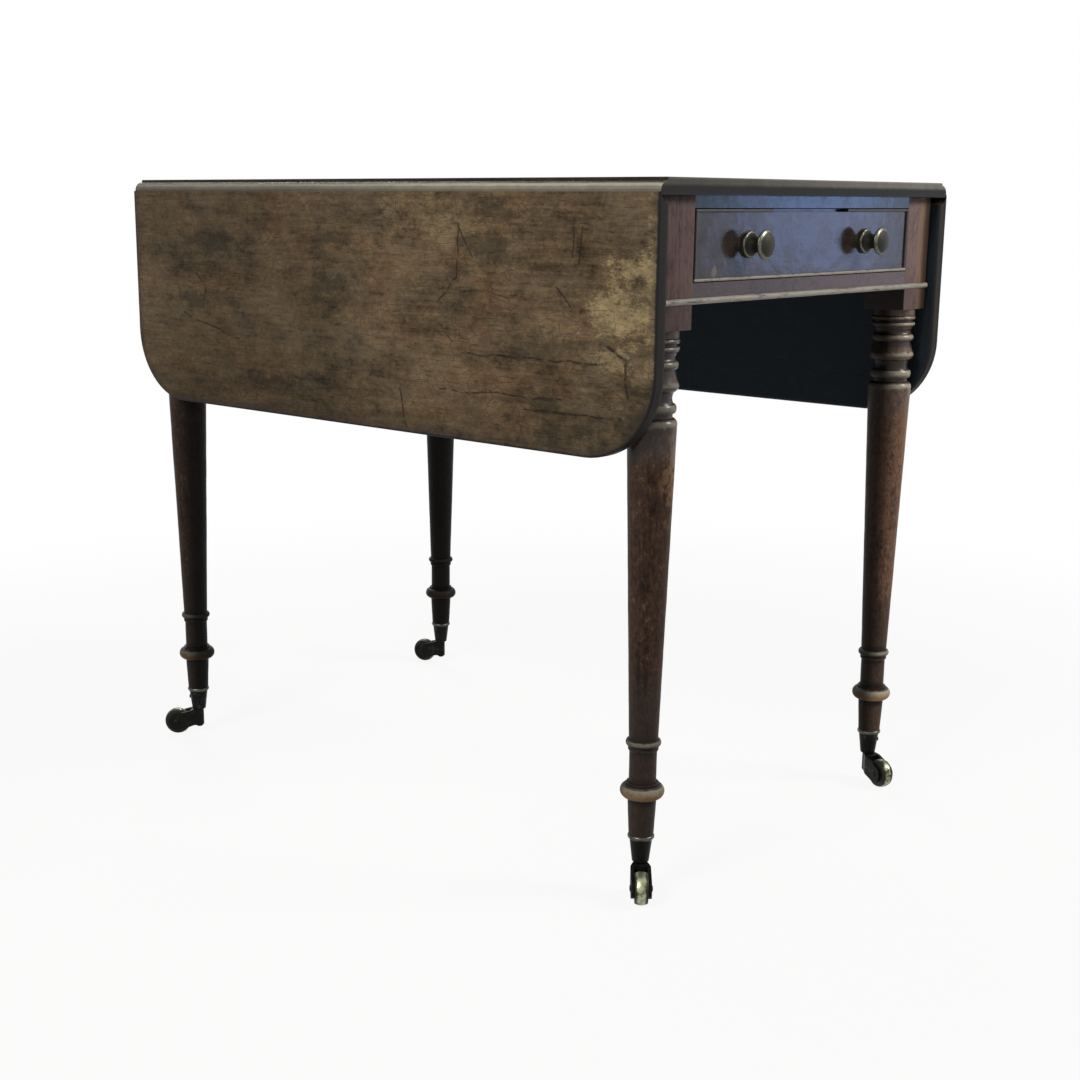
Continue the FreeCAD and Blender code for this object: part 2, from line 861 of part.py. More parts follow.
def knob(shank_length):
    """A turned knob on the origin, facing -Y, with its shank running back along +Y."""
    base_round = knob_base_height / 2
    lean = base_round * (1 - math.sqrt(0.5))
    head_start = knob_base_height + knob_neck_height
    dome_start = knob_projection - knob_dome_height
    root = knob_neck_radius + knob_neck_flare
    rim = knob_head_radius - knob_rim_round
    outline = Outline("xy", 0, shank_length).line(knob_shank_radius, shank_length)
    outline.line(knob_shank_radius, 0).line(knob_base_radius, 0).line(knob_base_radius, -base_round)
    outline.arc(
        (knob_base_radius - lean, -knob_base_height + lean),
        (knob_base_radius - base_round, -knob_base_height),
    )
    outline.line(root, -knob_base_height)
    outline.arc((knob_neck_radius, -(knob_base_height + head_start) / 2), (root, -head_start))
    outline.line(rim, -head_start)
    outline.arc((knob_head_radius, -(head_start + dome_start) / 2), (rim, -dome_start))
    outline.arc((rim / 2, -knob_projection + knob_dome_height / 4), (pole_flat, -knob_projection))
    return outline.line(0, -knob_projection).turned(ALONG)


def knob_nut():
    """A square nut on the origin, behind the drawer front."""
    half = knob_nut_width / 2
    nut = block((-half, half), (0, knob_nut_height), (-half, half))
    bore = knob_shank_radius + hole_clearance
    hole = rod(Vector(0, -spare, 0), Vector(0, knob_nut_height + spare, 0), bore)
    return nut.cut(hole)


def knob_pair(shape, y):
    pair = []
    for x in (-knob_spread / 2, knob_spread / 2):
        piece = shape.copy()
        piece.translate(Vector(x, y, knob_z))
        pair.append(piece)
    return pair


def back_rail():
    """The rail across the back, worked as a dummy drawer with a cockbead and two knobs."""
    rail = end_rail("back", end_rail_thickness, frieze_bottom, top_under, back_rail_tenon)
    frame = cockbead_frame(drawer_face_y, cockbead_thickness, cockbead_projection)
    cuts = [mirror_end(block(*bounds)) for bounds in frame.values()]
    cuts.append(
        block(
            (-drawer_half, drawer_half),
            (-drawer_face_y, leg_outer_y + spare),
            (drawer_low, drawer_high),
        )
    )
    for x in (-knob_spread / 2, knob_spread / 2):
        start = Vector(x, -drawer_face_y + spare, knob_z)
        end = start - ALONG * (dummy_shank_length + spare + hole_clearance)
        cuts.append(rod(start, end, knob_shank_radius + hole_clearance))
    return rail.cut(cuts)


def drawer_runner():
    return block(
        (leg_inner_x - runner_width, leg_inner_x),
        (-leg_outer_y + bottom_rail_depth, leg_outer_y - end_rail_thickness),
        (frieze_bottom, opening_bottom),
    )


def drawer_kicker():
    kicker = block(
        (leg_inner_x - kicker_width, leg_inner_x),
        (-leg_outer_y + end_rail_thickness, leg_outer_y - end_rail_thickness),
        (kicker_low, top_under),
    )
    return kicker.cut(top_screws(hole_clearance))


def top_screws(clearance=0.0):
    """Screws up through both kickers into the top."""
    length = kicker_height + top_screw_bite
    screw = wood_screw(top_screw_radius, top_screw_head, length, clearance)
    reach = leg_inner_y - end_rail_thickness
    x = leg_inner_x - kicker_width / 2
    screws = [aim(screw, Vector(x, y, kicker_low), UP) for y in spread(top_screw_count, reach)]
    return screws + [mirror_side(piece) for piece in screws]


def drawer_stop():
    """A block on the bottom rail that meets the back of the drawer front."""
    start = drawer_face_y + drawer_front_thickness + running_gap
    outer = drawer_half - stop_inset
    return block(
        (outer - stop_length, outer),
        (start, start + stop_depth),
        (opening_bottom, opening_bottom + stop_height),
    )


def glue_block():
    """A three-cornered block in the angle of the back rail and the top."""
    wall = leg_outer_y - end_rail_thickness
    outline = Outline("yz", wall, top_under).line(wall - glue_block_size, top_under)
    outline.line(wall, top_under - glue_block_size)
    piece = outline.face().extrude(Vector(glue_block_length, 0, 0))
    piece.translate(Vector(glue_block_spread / 2 - glue_block_length / 2, 0, 0))
    return piece


def caster_cup(side, end):
    rim_low = cup_top - cup_rim_height
    rim = cup_rim_radius - cup_rim_round
    lean = cup_tip_round * (1 - math.sqrt(0.5))
    outline = Outline("xz", 0, cup_bottom).line(cup_tip_radius - cup_tip_round, cup_bottom)
    outline.arc((cup_tip_radius - lean, cup_bottom + lean), (cup_tip_radius, cup_bottom + cup_tip_round))
    outline.line(cup_shoulder_radius, rim_low).line(rim, rim_low)
    outline.arc((cup_rim_radius, (rim_low + cup_top) / 2), (rim, cup_top))
    outline.line(cup_shoulder_radius - cup_wall + hole_clearance, cup_top)
    floor = cup_bottom + cup_floor
    outline.line(cup_tip_radius - cup_wall + hole_clearance, floor).line(0, floor)
    cup = outline.turned()
    bore = rod(Vector(0, 0, cup_bottom - spare), Vector(0, 0, floor + spare), swivel_pin_radius)
    cup = cup.cut(bore)
    cup.translate(Vector(sign_of[side] * leg_x, sign_of[end] * leg_y, 0))
    return cup.cut(aim(cup_screw(hole_clearance), *cup_screw_seat(side, end)))


def cup_screw(clearance=0.0):
    """A round-headed screw with its point up, seated on the origin."""
    length = cup_screw_length
    shank = cup_screw_radius + clearance
    head = cup_screw_head
    crown = cup_screw_head_height
    outline = Outline("xz", 0, -crown).line(pole_flat, -crown)
    outline.arc((head * 3 / 4, -crown * 2 / 3), (head, 0))
    outline.line(head, cup_screw_sink).line(shank, cup_screw_sink).line(shank, length - shank)
    return outline.line(shank / 4, length).line(0, length).turned()


def cup_screw_seat(side, end):
    """Where a cup screw's head rests, on the outward corner of the cup, and which way it points."""
    share = (cup_screw_drop - cup_rim_height) / (cup_top - cup_rim_height - cup_bottom)
    radius = cup_shoulder_radius + (cup_tip_radius - cup_shoulder_radius) * share
    outward = Vector(sign_of[side], sign_of[end], 0).normalize()
    centre = Vector(sign_of[side] * leg_x, sign_of[end] * leg_y, cup_top - cup_screw_drop)
    return centre + outward * (radius - cup_screw_sink / 3), outward * -1


def swivel_pin():
    """The pin that is riveted in the cup floor and under the horn."""
    floor = cup_bottom + cup_floor
    head_low = horn_bottom - running_gap
    head_bottom = head_low - swivel_head_height
    outline = Outline("xz", 0, head_bottom).line(swivel_head_radius - swivel_head_bevel, head_bottom)
    outline.line(swivel_head_radius, head_bottom + swivel_head_bevel).line(swivel_head_radius, head_low)
    outline.line(swivel_pin_radius, head_low).line(swivel_pin_radius, floor)
    outline.line(swivel_head_radius, floor).line(swivel_head_radius, floor + swivel_head_height)
    return outline.line(0, floor + swivel_head_height).turned()


def tangent_point(point, centre, radius, sign):
    """Where a line from a point grazes a circle, on the side that sign gives."""
    away = math.atan2(point[1] - centre[1], point[0] - centre[0])
    reach = math.hypot(point[0] - centre[0], point[1] - centre[1])
    angle = away + sign * math.acos(radius / reach)
    return centre[0] + radius * math.cos(angle), centre[1] + radius * math.sin(angle)


def caster_horn():
    """The fork that swivels under a cup, drawn with its wheel towards +X."""
    centre = (caster_trail, wheel_radius)
    shoulder = (horn_boss_radius, horn_top)
    heel = (horn_boss_radius, horn_bottom)
    upper = tangent_point(shoulder, centre, cheek_radius, -1)
    lower = tangent_point(heel, centre, cheek_radius, 1)
    side = Outline("xz", -horn_boss_radius, horn_bottom).line(-horn_boss_radius, horn_top)
    side.line(*shoulder).line(*upper)
    side.arc((caster_trail + cheek_radius, wheel_radius), lower).line(*heel)
    side = side.face().extrude(Vector(0, 2 * fork_half, 0))
    side.translate(Vector(0, -fork_half, 0))
    slot_start = caster_trail - wheel_radius - wheel_end_gap
    far = caster_trail + wheel_radius
    plan = Outline("xy", 0, -horn_boss_radius).line(slot_start, -fork_half).line(far, -fork_half)
    plan.line(far, fork_half).line(slot_start, fork_half).line(0, horn_boss_radius)
    plan = plan.face().extrude(UP * horn_top)
    boss = rod(Vector(0, 0, 0), Vector(0, 0, horn_top), horn_boss_radius)
    horn = side.common(join([plan, boss]))
    slot_half = wheel_width / 2 + wheel_side_gap
    slot = block((slot_start, far + spare), (-slot_half, slot_half), (-spare, horn_top + spare))
    bore = rod(Vector(0, 0, -spare), Vector(0, 0, horn_top + spare), swivel_pin_radius + running_fit)
    wide = fork_half + spare
    hole = rod(
        Vector(caster_trail, -wide, wheel_radius),
        Vector(caster_trail, wide, wheel_radius),
        axle_radius + running_fit,
    )
    return horn.cut([slot, bore, hole])


def caster_axle():
    end = fork_half + axle_head_height
    swelling = (axle_head_radius * 0.75, fork_half + axle_head_height * 0.7)
    outline = Outline("xy", 0, -end).line(pole_flat, -end)
    outline.arc((swelling[0], -swelling[1]), (axle_head_radius, -fork_half))
    outline.line(axle_radius, -fork_half).line(axle_radius, fork_half)
    outline.line(axle_head_radius, fork_half).arc(swelling, (pole_flat, end)).line(0, end)
    axle = outline.turned(ALONG)
    axle.translate(Vector(caster_trail, 0, wheel_radius))
    return axle


def caster_wheel():
    half = wheel_width / 2
    shoulder = wheel_radius - wheel_crown
    bore = axle_radius + running_fit
    hub = axle_head_radius + wheel_hub_rim
    rim = shoulder - wheel_rim
    dish = half - wheel_dish
    slope = wheel_dish / 2
    outline = Outline("xy", bore, -half).line(hub, -half).line(hub + slope, -dish)
    outline.line(rim - slope, -dish).line(rim, -half).line(shoulder, -half)
    outline.arc((wheel_radius, 0), (shoulder, half)).line(rim, half).line(rim - slope, dish)
    outline.line(hub + slope, dish).line(hub, half).line(bore, half)
    wheel = outline.turned(ALONG)
    wheel.translate(Vector(caster_trail, 0, wheel_radius))
    return wheel


def under_leg(shape, side, end):
    """Turns a caster piece to its resting direction and sets it under its leg."""
    piece = shape.copy()
    piece.rotate(Vector(0, 0, 0), UP, caster_turns[f"{end}_{side}"])
    piece.translate(Vector(sign_of[side] * leg_x, sign_of[end] * leg_y, 0))
    return piece


def both_sides(shapes):
    return list(shapes) + [mirror_side(shape) for shape in shapes]


def boards():
    leaf_plates = [lower_leaf(leaf_hinge_plate(y)) for y in hinge_places]
    plate_holes = [lower_leaf(screw) for screw in hinge_screws(leaf_hinge_spots, hole_clearance)]
    leaf_plates = [plate.cut(plate_holes) for plate in leaf_plates]
    leaf_screws = [lower_leaf(screw) for screw in hinge_screws(leaf_hinge_spots)]
    top_plates = [top_hinge_plate(y) for y in hinge_places]
    top_plates = [plate.cut(hinge_screws(top_hinge_spots, hole_clearance)) for plate in top_plates]
    nodes = {"top_board": [top_board()]}
    for side, leaf in on_sides(lower_leaf(raised_leaf())).items():
        nodes[f"{side}_leaf"] = [leaf]
    nodes["top_hinge_plates"] = both_sides(top_plates)
    nodes["hinge_pins"] = both_sides([hinge_pin(y) for y in hinge_places])
    nodes["top_hinge_screws"] = both_sides(hinge_screws(top_hinge_spots))
    nodes["right_leaf_hinge_plates"] = leaf_plates
    nodes["left_leaf_hinge_plates"] = [mirror_side(plate) for plate in leaf_plates]
    nodes["right_leaf_hinge_screws"] = leaf_screws
    nodes["left_leaf_hinge_screws"] = [mirror_side(screw) for screw in leaf_screws]
    return nodes


def frame():
    bead = frieze_bead()
    block_piece = glue_block()
    nodes = {
        "drawer_top_rail": [
            end_rail("front", end_rail_thickness, opening_top, top_under, top_rail_tenon)
        ],
        "drawer_bottom_rail": [
            end_rail("front", bottom_rail_depth, frieze_bottom, opening_bottom, bottom_rail_tenon)
        ],
        "back_rail": [back_rail()],
        "frieze_beads": [bead, mirror_end(bead)],
        "dummy_drawer_cockbead": dummy_cockbead(),
        "dummy_drawer_knobs": [
            mirror_end(piece) for piece in knob_pair(knob(dummy_shank_length), drawer_face_y)
        ],
        "drawer_runners": both_sides([drawer_runner()]),
        "drawer_kickers": both_sides([drawer_kicker()]),
        "drawer_stops": both_sides([drawer_stop()]),
        "glue_blocks": both_sides([block_piece]),
        "top_screws": top_screws(),
        "bracket_pins": [at_corner(bracket_pin(), side, end) for side, end in corners],
    }
    for side, rail in on_sides(inner_rail()).items():
        nodes[f"{side}_inner_rail"] = [rail]
    for side, rail in on_sides(fly_rail()).items():
        nodes[f"{side}_fly_rail"] = [rail]
    for side, end in corners:
        nodes[f"{end}_{side}_leg"] = [leg(side, end)]
        nodes[f"{end}_{side}_fly_bracket"] = [at_corner(fly_bracket(), side, end)]
    return nodes


def drawer():
    back_of_front = drawer_face_y + drawer_front_thickness
    nodes = {
        "drawer_front": [drawer_front()],
        "drawer_back": [drawer_back()],
        "drawer_bottom": [panel_groove()],
        "drawer_cockbead": drawer_cockbead(),
        "drawer_knobs": knob_pair(knob(drawer_front_thickness + knob_nut_height), drawer_face_y),
        "knob_nuts": knob_pair(knob_nut(), back_of_front),
    }
    for side, board in on_sides(drawer_side()).items():
        nodes[f"drawer_{side}_side"] = [board]
    return nodes


def casters():
    pins = []
    screws = []
    nodes = {}
    for side, end in corners:
        name = f"{end}_{side}"
        nodes[f"{name}_caster_cup"] = [caster_cup(side, end)]
        nodes[f"{name}_caster_horn"] = [under_leg(caster_horn(), side, end)]
        nodes[f"{name}_caster_axle"] = [under_leg(caster_axle(), side, end)]
        nodes[f"{name}_caster_wheel"] = [under_leg(caster_wheel(), side, end)]
        pins.append(under_leg(swivel_pin(), side, end))
        screws.append(aim(cup_screw(), *cup_screw_seat(side, end)))
    nodes["caster_swivel_pins"] = pins
    nodes["caster_cup_screws"] = screws
    return nodes


def export(name, solids):
    for solid in solids:
        if not solid.isValid() or len(solid.Solids) != 1:
            raise ValueError(f"{name} is not one sound solid")
    shape = solids[0] if len(solids) == 1 else Part.makeCompound(solids)
    shape.exportStep(os.path.join("parts", f"{name}.step"))


os.makedirs("parts", exist_ok=True)
for group in (boards(), frame(), drawer(), casters()):
    for node, solids in group.items():
        export(node, solids)
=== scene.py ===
import functools
import json
import math

import bmesh
import bpy
import numpy as np
from bpy.props import FloatProperty, FloatVectorProperty, IntProperty, PointerProperty
from mathutils import Matrix, Vector

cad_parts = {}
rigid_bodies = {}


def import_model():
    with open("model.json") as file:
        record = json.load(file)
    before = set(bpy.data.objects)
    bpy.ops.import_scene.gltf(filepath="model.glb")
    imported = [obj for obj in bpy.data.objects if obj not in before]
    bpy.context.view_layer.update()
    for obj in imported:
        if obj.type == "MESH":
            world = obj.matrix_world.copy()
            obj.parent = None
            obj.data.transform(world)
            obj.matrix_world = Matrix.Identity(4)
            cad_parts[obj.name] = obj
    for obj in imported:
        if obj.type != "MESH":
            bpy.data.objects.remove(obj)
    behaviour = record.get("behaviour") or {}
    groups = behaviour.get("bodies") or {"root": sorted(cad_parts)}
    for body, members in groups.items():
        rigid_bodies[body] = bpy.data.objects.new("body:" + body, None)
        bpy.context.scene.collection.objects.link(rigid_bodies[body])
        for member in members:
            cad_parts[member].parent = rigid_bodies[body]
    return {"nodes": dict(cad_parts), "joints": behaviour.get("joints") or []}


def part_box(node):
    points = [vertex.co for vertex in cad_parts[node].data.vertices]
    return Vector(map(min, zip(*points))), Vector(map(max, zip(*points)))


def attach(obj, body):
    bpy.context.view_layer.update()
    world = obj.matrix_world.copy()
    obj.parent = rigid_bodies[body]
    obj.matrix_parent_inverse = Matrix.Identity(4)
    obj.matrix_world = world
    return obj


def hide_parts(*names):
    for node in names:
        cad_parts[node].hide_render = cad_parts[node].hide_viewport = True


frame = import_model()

bl_info = {
    "name": "Drop-leaf table",
    "version": (1, 0, 0),
    "blender": (4, 5, 0),
    "location": "3D View > Sidebar > Table",
    "description": "Dresses the frame of an old drop-leaf table in worn wood, brass and iron",
    "category": "Object",
}

for spare_object in [item for item in bpy.data.objects if item.type in {"CAMERA", "LIGHT"}]:
    bpy.data.objects.remove(spare_object)
for spare_object in [item for item in bpy.data.objects if item.type == "MESH"]:
    if spare_object.name not in frame["nodes"]:
        bpy.data.objects.remove(spare_object)
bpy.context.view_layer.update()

MM = 0.001
HAIR = 1e-5
SIDES = ("left", "right")
ENDS = ("front", "back")
CORNERS = [(end, side) for end in ENDS for side in SIDES]
NO_SHIFT = (0.0, 0.0, 0.0)
SMOOTH_ANGLE = math.radians(38)
BLOCK_ANGLE = math.radians(40)

# Bands of the table that a finish follows, as where a change starts and ends, in metres
LEAF_FOOT = (0.455, 0.540)
# Where a leaf's face is painted lighter towards its front end and near its back end, as painted
# light
LEAF_LIT_FRONT = (0.07, -0.04)
LEAF_LIT_BACK = (0.32, 0.38)
# Painted shade along a leaf's free edges and on its end faces
LEAF_EDGE_SHADE = (0.0045, 0.0015)
LEAF_SOFT_EDGE_SHADE = (0.0130, 0.0035)
LEAF_EDGE_DEPTH = (0.008, 0.005)
LEAF_INNER_FACE = (0.0012, 0.0003)
# Bands of the rule joints: a pale painted highlight, a dark painted shade line, and dark at the top
JOINT_PALE = (0.7080, 0.7135)
JOINT_DARK = (0.7138, 0.7156)
JOINT_LINE = 0.7112
# Band of the top's ends that carries a painted highlight over painted shade
TOP_EDGE_PALE = (0.7110, 0.7150)
TOP_END = (0.4035, 0.4045)
TOP_UNDER = (0.7052, 0.7045)
BLOCK_TAN = (0.2300, 0.2340)
BLOCK_SHADE = (0.2360, 0.2480)
BLOCK_INNER = (0.2070, 0.2054)
BELOW_FRIEZE = (0.603, 0.600)
LEG_FOOT = (0.26, 0.20)
LEG_TURNINGS = (0.44, 0.47)
LEG_BALL = 0.112
BALL_REACH = (0.016, 0.012)
DRAWER_SCUFF = (-0.170, 0.631)

# Marks on a leaf's face by place along and up: reach along, reach up and strength of bare wood,
# reach along and up of a stain, one of which is painted shade, and start, end and half width of a
# scratch
BARE_PATCHES = (
    (-0.385, 0.634, 0.040, 0.030, 1.0),
    (-0.366, 0.595, 0.056, 0.034, 1.0),
    (-0.352, 0.551, 0.026, 0.018, 0.7),
    (-0.400, 0.610, 0.012, 0.090, 0.6),
    (-0.100, 0.684, 0.080, 0.030, 0.20),
)
STAINS_AND_SHADE = (
    (-0.214, 0.683, 0.050, 0.020),
    (-0.190, 0.655, 0.060, 0.022),
    (-0.150, 0.628, 0.022, 0.012),
    (-0.270, 0.555, 0.060, 0.022),
    (-0.250, 0.505, 0.070, 0.014),
    (0.035, 0.656, 0.070, 0.016),
    (0.060, 0.600, 0.050, 0.022),
    (0.258, 0.648, 0.080, 0.016),
    (0.262, 0.586, 0.070, 0.022),
    (0.148, 0.489, 0.050, 0.016),
    (-0.374, 0.530, 0.010, 0.040),
    # Painted shade at the leaf's lower front corner
    (-0.392, 0.490, 0.050, 0.050),
    (-0.300, 0.478, 0.100, 0.012),
)
SCRATCHES = (
    ((-0.152, 0.674), (-0.150, 0.621), 0.0017),
    ((-0.152, 0.672), (-0.172, 0.640), 0.0013),
    ((-0.150, 0.622), (-0.120, 0.596), 0.0015),
    ((-0.282, 0.617), (-0.301, 0.598), 0.0013),
    ((-0.158, 0.544), (-0.340, 0.546), 0.0015),
    ((-0.124, 0.505), (-0.290, 0.508), 0.0015),
    ((-0.244, 0.495), (-0.366, 0.495), 0.0017),
    ((-0.349, 0.562), (-0.370, 0.552), 0.0022),
    ((-0.370, 0.552), (-0.374, 0.518), 0.0024),
    ((-0.066, 0.500), (-0.075, 0.460), 0.0017),
    ((-0.312, 0.675), (-0.313, 0.638), 0.0014),
    ((-0.303, 0.678), (-0.305, 0.645), 0.0012),
    ((0.311, 0.563), (0.207, 0.536), 0.0015),
    ((0.266, 0.596), (0.272, 0.574), 0.0020),
)


def joined(operation, reflected=False):
    """An operator that adds a Math node to a wire and a number or another wire."""
    if reflected:
        return lambda wire, other: wire.join(operation, other, wire)
    return lambda wire, other: wire.join(operation, wire, other)


class Wire:
    """A node socket that Python's operators can join to other sockets and numbers."""

    def __init__(self, graph, socket):
        self.graph = graph
        self.socket = socket

    def join(self, operation, first, second=0.0):
        return self.graph.node("ShaderNodeMath", {"operation": operation}, {0: first, 1: second})

    __add__, __radd__ = joined("ADD"), joined("ADD", True)
    __sub__, __rsub__ = joined("SUBTRACT"), joined("SUBTRACT", True)
    __mul__, __rmul__ = joined("MULTIPLY"), joined("MULTIPLY", True)
    __truediv__, __pow__ = joined("DIVIDE"), joined("POWER")
    most, least = joined("MAXIMUM"), joined("MINIMUM")

    def __abs__(self):
        return self.join("ABSOLUTE", self)

    def under(self, color, share):
        return self.graph.mix(self, color, share)

    def shaded(self, value):
        return self.graph.shade(self, value)


class Graph:
    """A node tree that is written as Python expressions."""

    def __init__(self, tree):
        self.tree = tree

    @staticmethod
    def find(sockets, key):
        if isinstance(key, int):
            return sockets[key]
        for socket in sockets:
            if socket.identifier == key:
                return socket
        return sockets[key]

    def node(self, kind, settings=None, sockets=None, output=0):
        """Adds a node, makes its settings, fills or links its sockets and gives an output."""
        node = self.tree.nodes.new(kind)
        for name, value in (settings or {}).items():
            setattr(node, name, value)
        for key, value in (sockets or {}).items():
            socket = self.find(node.inputs, key)
            if isinstance(value, Wire):
                self.tree.links.new(value.socket, socket)
            else:
                socket.default_value = value
        if len(node.outputs):
            return Wire(self, self.find(node.outputs, output))


class Finish(Graph):
    """A material whose pattern is placed by the object's own coordinates."""

    def __init__(self, name):
        self.material = bpy.data.materials.new(name)
        self.material.use_nodes = True
        super().__init__(self.material.node_tree)
        self.tree.nodes.clear()
        self.place = self.node("ShaderNodeTexCoord", output="Object")
        split = self.node("ShaderNodeSeparateXYZ", None, {0: self.place}).socket.node.outputs
        self.across, self.along, self.up = (Wire(self, output) for output in split)

    def stretched(self, scale, shift):
        """The place, scaled along each axis, or along all by one number, and shifted."""
        if isinstance(scale, float):
            scale = (scale,) * 3
        kind = "ShaderNodeVectorMath"
        scaled = self.node(kind, {"operation": "MULTIPLY"}, {0: self.place, 1: scale})
        return self.node(kind, {"operation": "ADD"}, {0: scaled, 1: shift})

    def cloud(self, scale, shift, detail, roughness, warp=0.0):
        """Soft noise about one half, so many waves to the metre along each axis."""
        sockets = {"Vector": self.stretched(scale, shift), "Scale": 1.0}
        sockets.update({"Detail": detail, "Roughness": roughness, "Distortion": warp})
        return self.node("ShaderNodeTexNoise", {"noise_dimensions": "3D"}, sockets)

    def cells(self, scale, shift):
        """Distance from the borders of random cells."""
        sockets = {"Vector": self.stretched(scale, shift), "Scale": 1.0}
        return self.node("ShaderNodeTexVoronoi", {"feature": "DISTANCE_TO_EDGE"}, sockets)

    def attribute(self, name):
        return self.node("ShaderNodeAttribute", {"attribute_name": name}, output="Fac")

    def mix(self, first, second, share, blend="MIX"):
        settings = {"data_type": "RGBA", "blend_type": blend, "clamp_factor": True}
        colors = [tone if isinstance(tone, Wire) else (*tone, 1.0) for tone in (first, second)]
        sockets = {"A_Color": colors[0], "B_Color": colors[1], "Factor_Float": share}
        return self.node("ShaderNodeMix", settings, sockets, "Result_Color")

    def shade(self, color, value):
        """A colour made lighter or darker by a value."""
        gray = self.node("ShaderNodeCombineColor", None, {0: value, 1: value, 2: value})
        return self.mix(color, gray, 1.0, "MULTIPLY")

    def close(self, color, roughness, height, depth, specular=0.5, tint=(1.0, 1.0, 1.0), **more):
        """Joins colour, roughness and relief to a surface and gives the finished material."""
        bump = {"Strength": 1.0, "Distance": depth, "Height": height}
        sockets = {"Base Color": color, "Roughness": roughness}
        sockets["Normal"] = self.node("ShaderNodeBump", None, bump)
        sockets.update({"Specular IOR Level": specular, "Specular Tint": (*tint, 1.0)}, **more)
        surface = self.node("ShaderNodeBsdfPrincipled", None, sockets)
        self.node("ShaderNodeOutputMaterial", None, {"Surface": surface})
        return self.material


def rise(value, low, high):
    """0 below low, 1 above high and smooth between them; low may be the larger."""
    sockets = {"Value": value, "From Min": low, "From Max": high}
    return value.graph.node("ShaderNodeMapRange", {"interpolation_type": "SMOOTHSTEP"}, sockets)


def strongest(masks):
    """The largest of some masks at each spot."""
    return functools.reduce(Wire.most, masks)


def grain_scale(along, across, axis):
    """Scale of a pattern that is long along one axis and fine across it."""
    return tuple(along if index == "XYZ".index(axis) else across for index in range(3))


def wood_grain(finish, axis, shift):
    """Streaks and pores that run along one axis: fine fibre, broad figure and dark pores."""
    fibre = finish.cloud(grain_scale(7.0, 420.0, axis), shift, 3.0, 0.65)
    figure = finish.cloud(grain_scale(1.6, 34.0, axis), shift, 3.0, 0.55, 0.6)
    pores = finish.cloud(grain_scale(70.0, 1500.0, axis), shift, 1.0, 0.5)
    return fibre, figure, rise(pores, 0.60, 0.72)


def blemish(spot, along, up, length, height, ragged):
    """1 in the middle of a ragged oval on a leaf's face and 0 outside it."""
    beside = (spot[0] - along) / length
    above = (spot[1] - up) / height
    return rise((beside**2.0 + above**2.0) ** 0.5 + ragged, 1.0, 0.2)


def stroke(spot, start, end, width):
    """1 along a thin scratch on a leaf's face and 0 beside it."""
    run, climb = end[0] - start[0], end[1] - start[1]
    beside, above = spot[0] - start[0], spot[1] - start[1]
    share = (beside * run + above * climb) / (run * run + climb * climb)
    share = share.most(0.0).least(1.0)
    gap = ((beside - share * run) ** 2.0 + (above - share * climb) ** 2.0) ** 0.5
    return rise(gap, width, 0.4 * width)


def edge_distance(finish, low_z, half_length, radius):
    """How far inside the free edges a spot on a hanging leaf lies, in metres."""
    beyond = abs(finish.along) - (half_length - radius)
    below = (low_z + radius) - finish.up
    corner = (beyond.most(0.0) ** 2.0 + below.most(0.0) ** 2.0) ** 0.5
    return radius - corner - beyond.most(below).least(0.0)


def faded_wood(finish, look, shift):
    """Colour, dirt and relief of old mahogany, faded in patches and full of small knocks."""
    fibre, _, pores = wood_grain(finish, "Y", shift)
    broad = finish.cloud((11.0, 6.0, 13.0), shift, 3.0, 0.6, 0.2)
    mottle = finish.cloud((52.0, 30.0, 54.0), shift, 5.0, 0.86)
    streak = finish.cloud((210.0, 10.0, 210.0), shift, 4.0, 0.75)
    tint = finish.cloud((24.0, 13.0, 26.0), (3.1, 7.7, 1.3), 5.0, 0.7)
    color = finish.mix(look.faded_color, look.warm_color, 0.7 * rise(tint, 0.50, 0.62))
    color = color.under(look.dull_color, 0.5 * rise(tint, 0.48, 0.38))
    contrast = 2.7 + 0.6 * rise(finish.along, 0.25, -0.05)
    grain = finish.cloud((200.0, 150.0, 200.0), shift, 2.0, 0.6)
    light = 1.0 + contrast * (mottle - 0.5) + 1.6 * (broad - 0.5)
    light = light + 1.4 * (streak - 0.5) + 0.7 * (grain - 0.5)
    color = color.shaded(light.most(0.2))
    spots = finish.cloud((34.0, 14.0, 34.0), (9.0, 2.5, 5.5), 5.0, 0.75, 0.3)
    spots = rise(spots, 0.58, 0.70)
    dashes = rise(finish.cloud((420.0, 42.0, 420.0), shift, 2.0, 0.6), 0.61, 0.69)
    specks = rise(finish.cloud((430.0, 270.0, 430.0), shift, 2.0, 0.6), 0.63, 0.71)
    cracks = rise(finish.cells((90.0, 46.0, 90.0), shift), 0.030, 0.010)
    cracks = cracks * rise(mottle + 0.4 * (tint - 0.5), 0.50, 0.57)
    dirt = strongest((0.4 * spots, 0.5 * dashes, 0.42 * specks, 0.6 * cracks, 0.25 * pores))
    relief = 0.35 * fibre + 0.5 * (1.0 - specks) + 0.4 * (1.0 - dashes) + 0.3 * (1.0 - cracks)
    return color, dirt, mottle, tint, relief


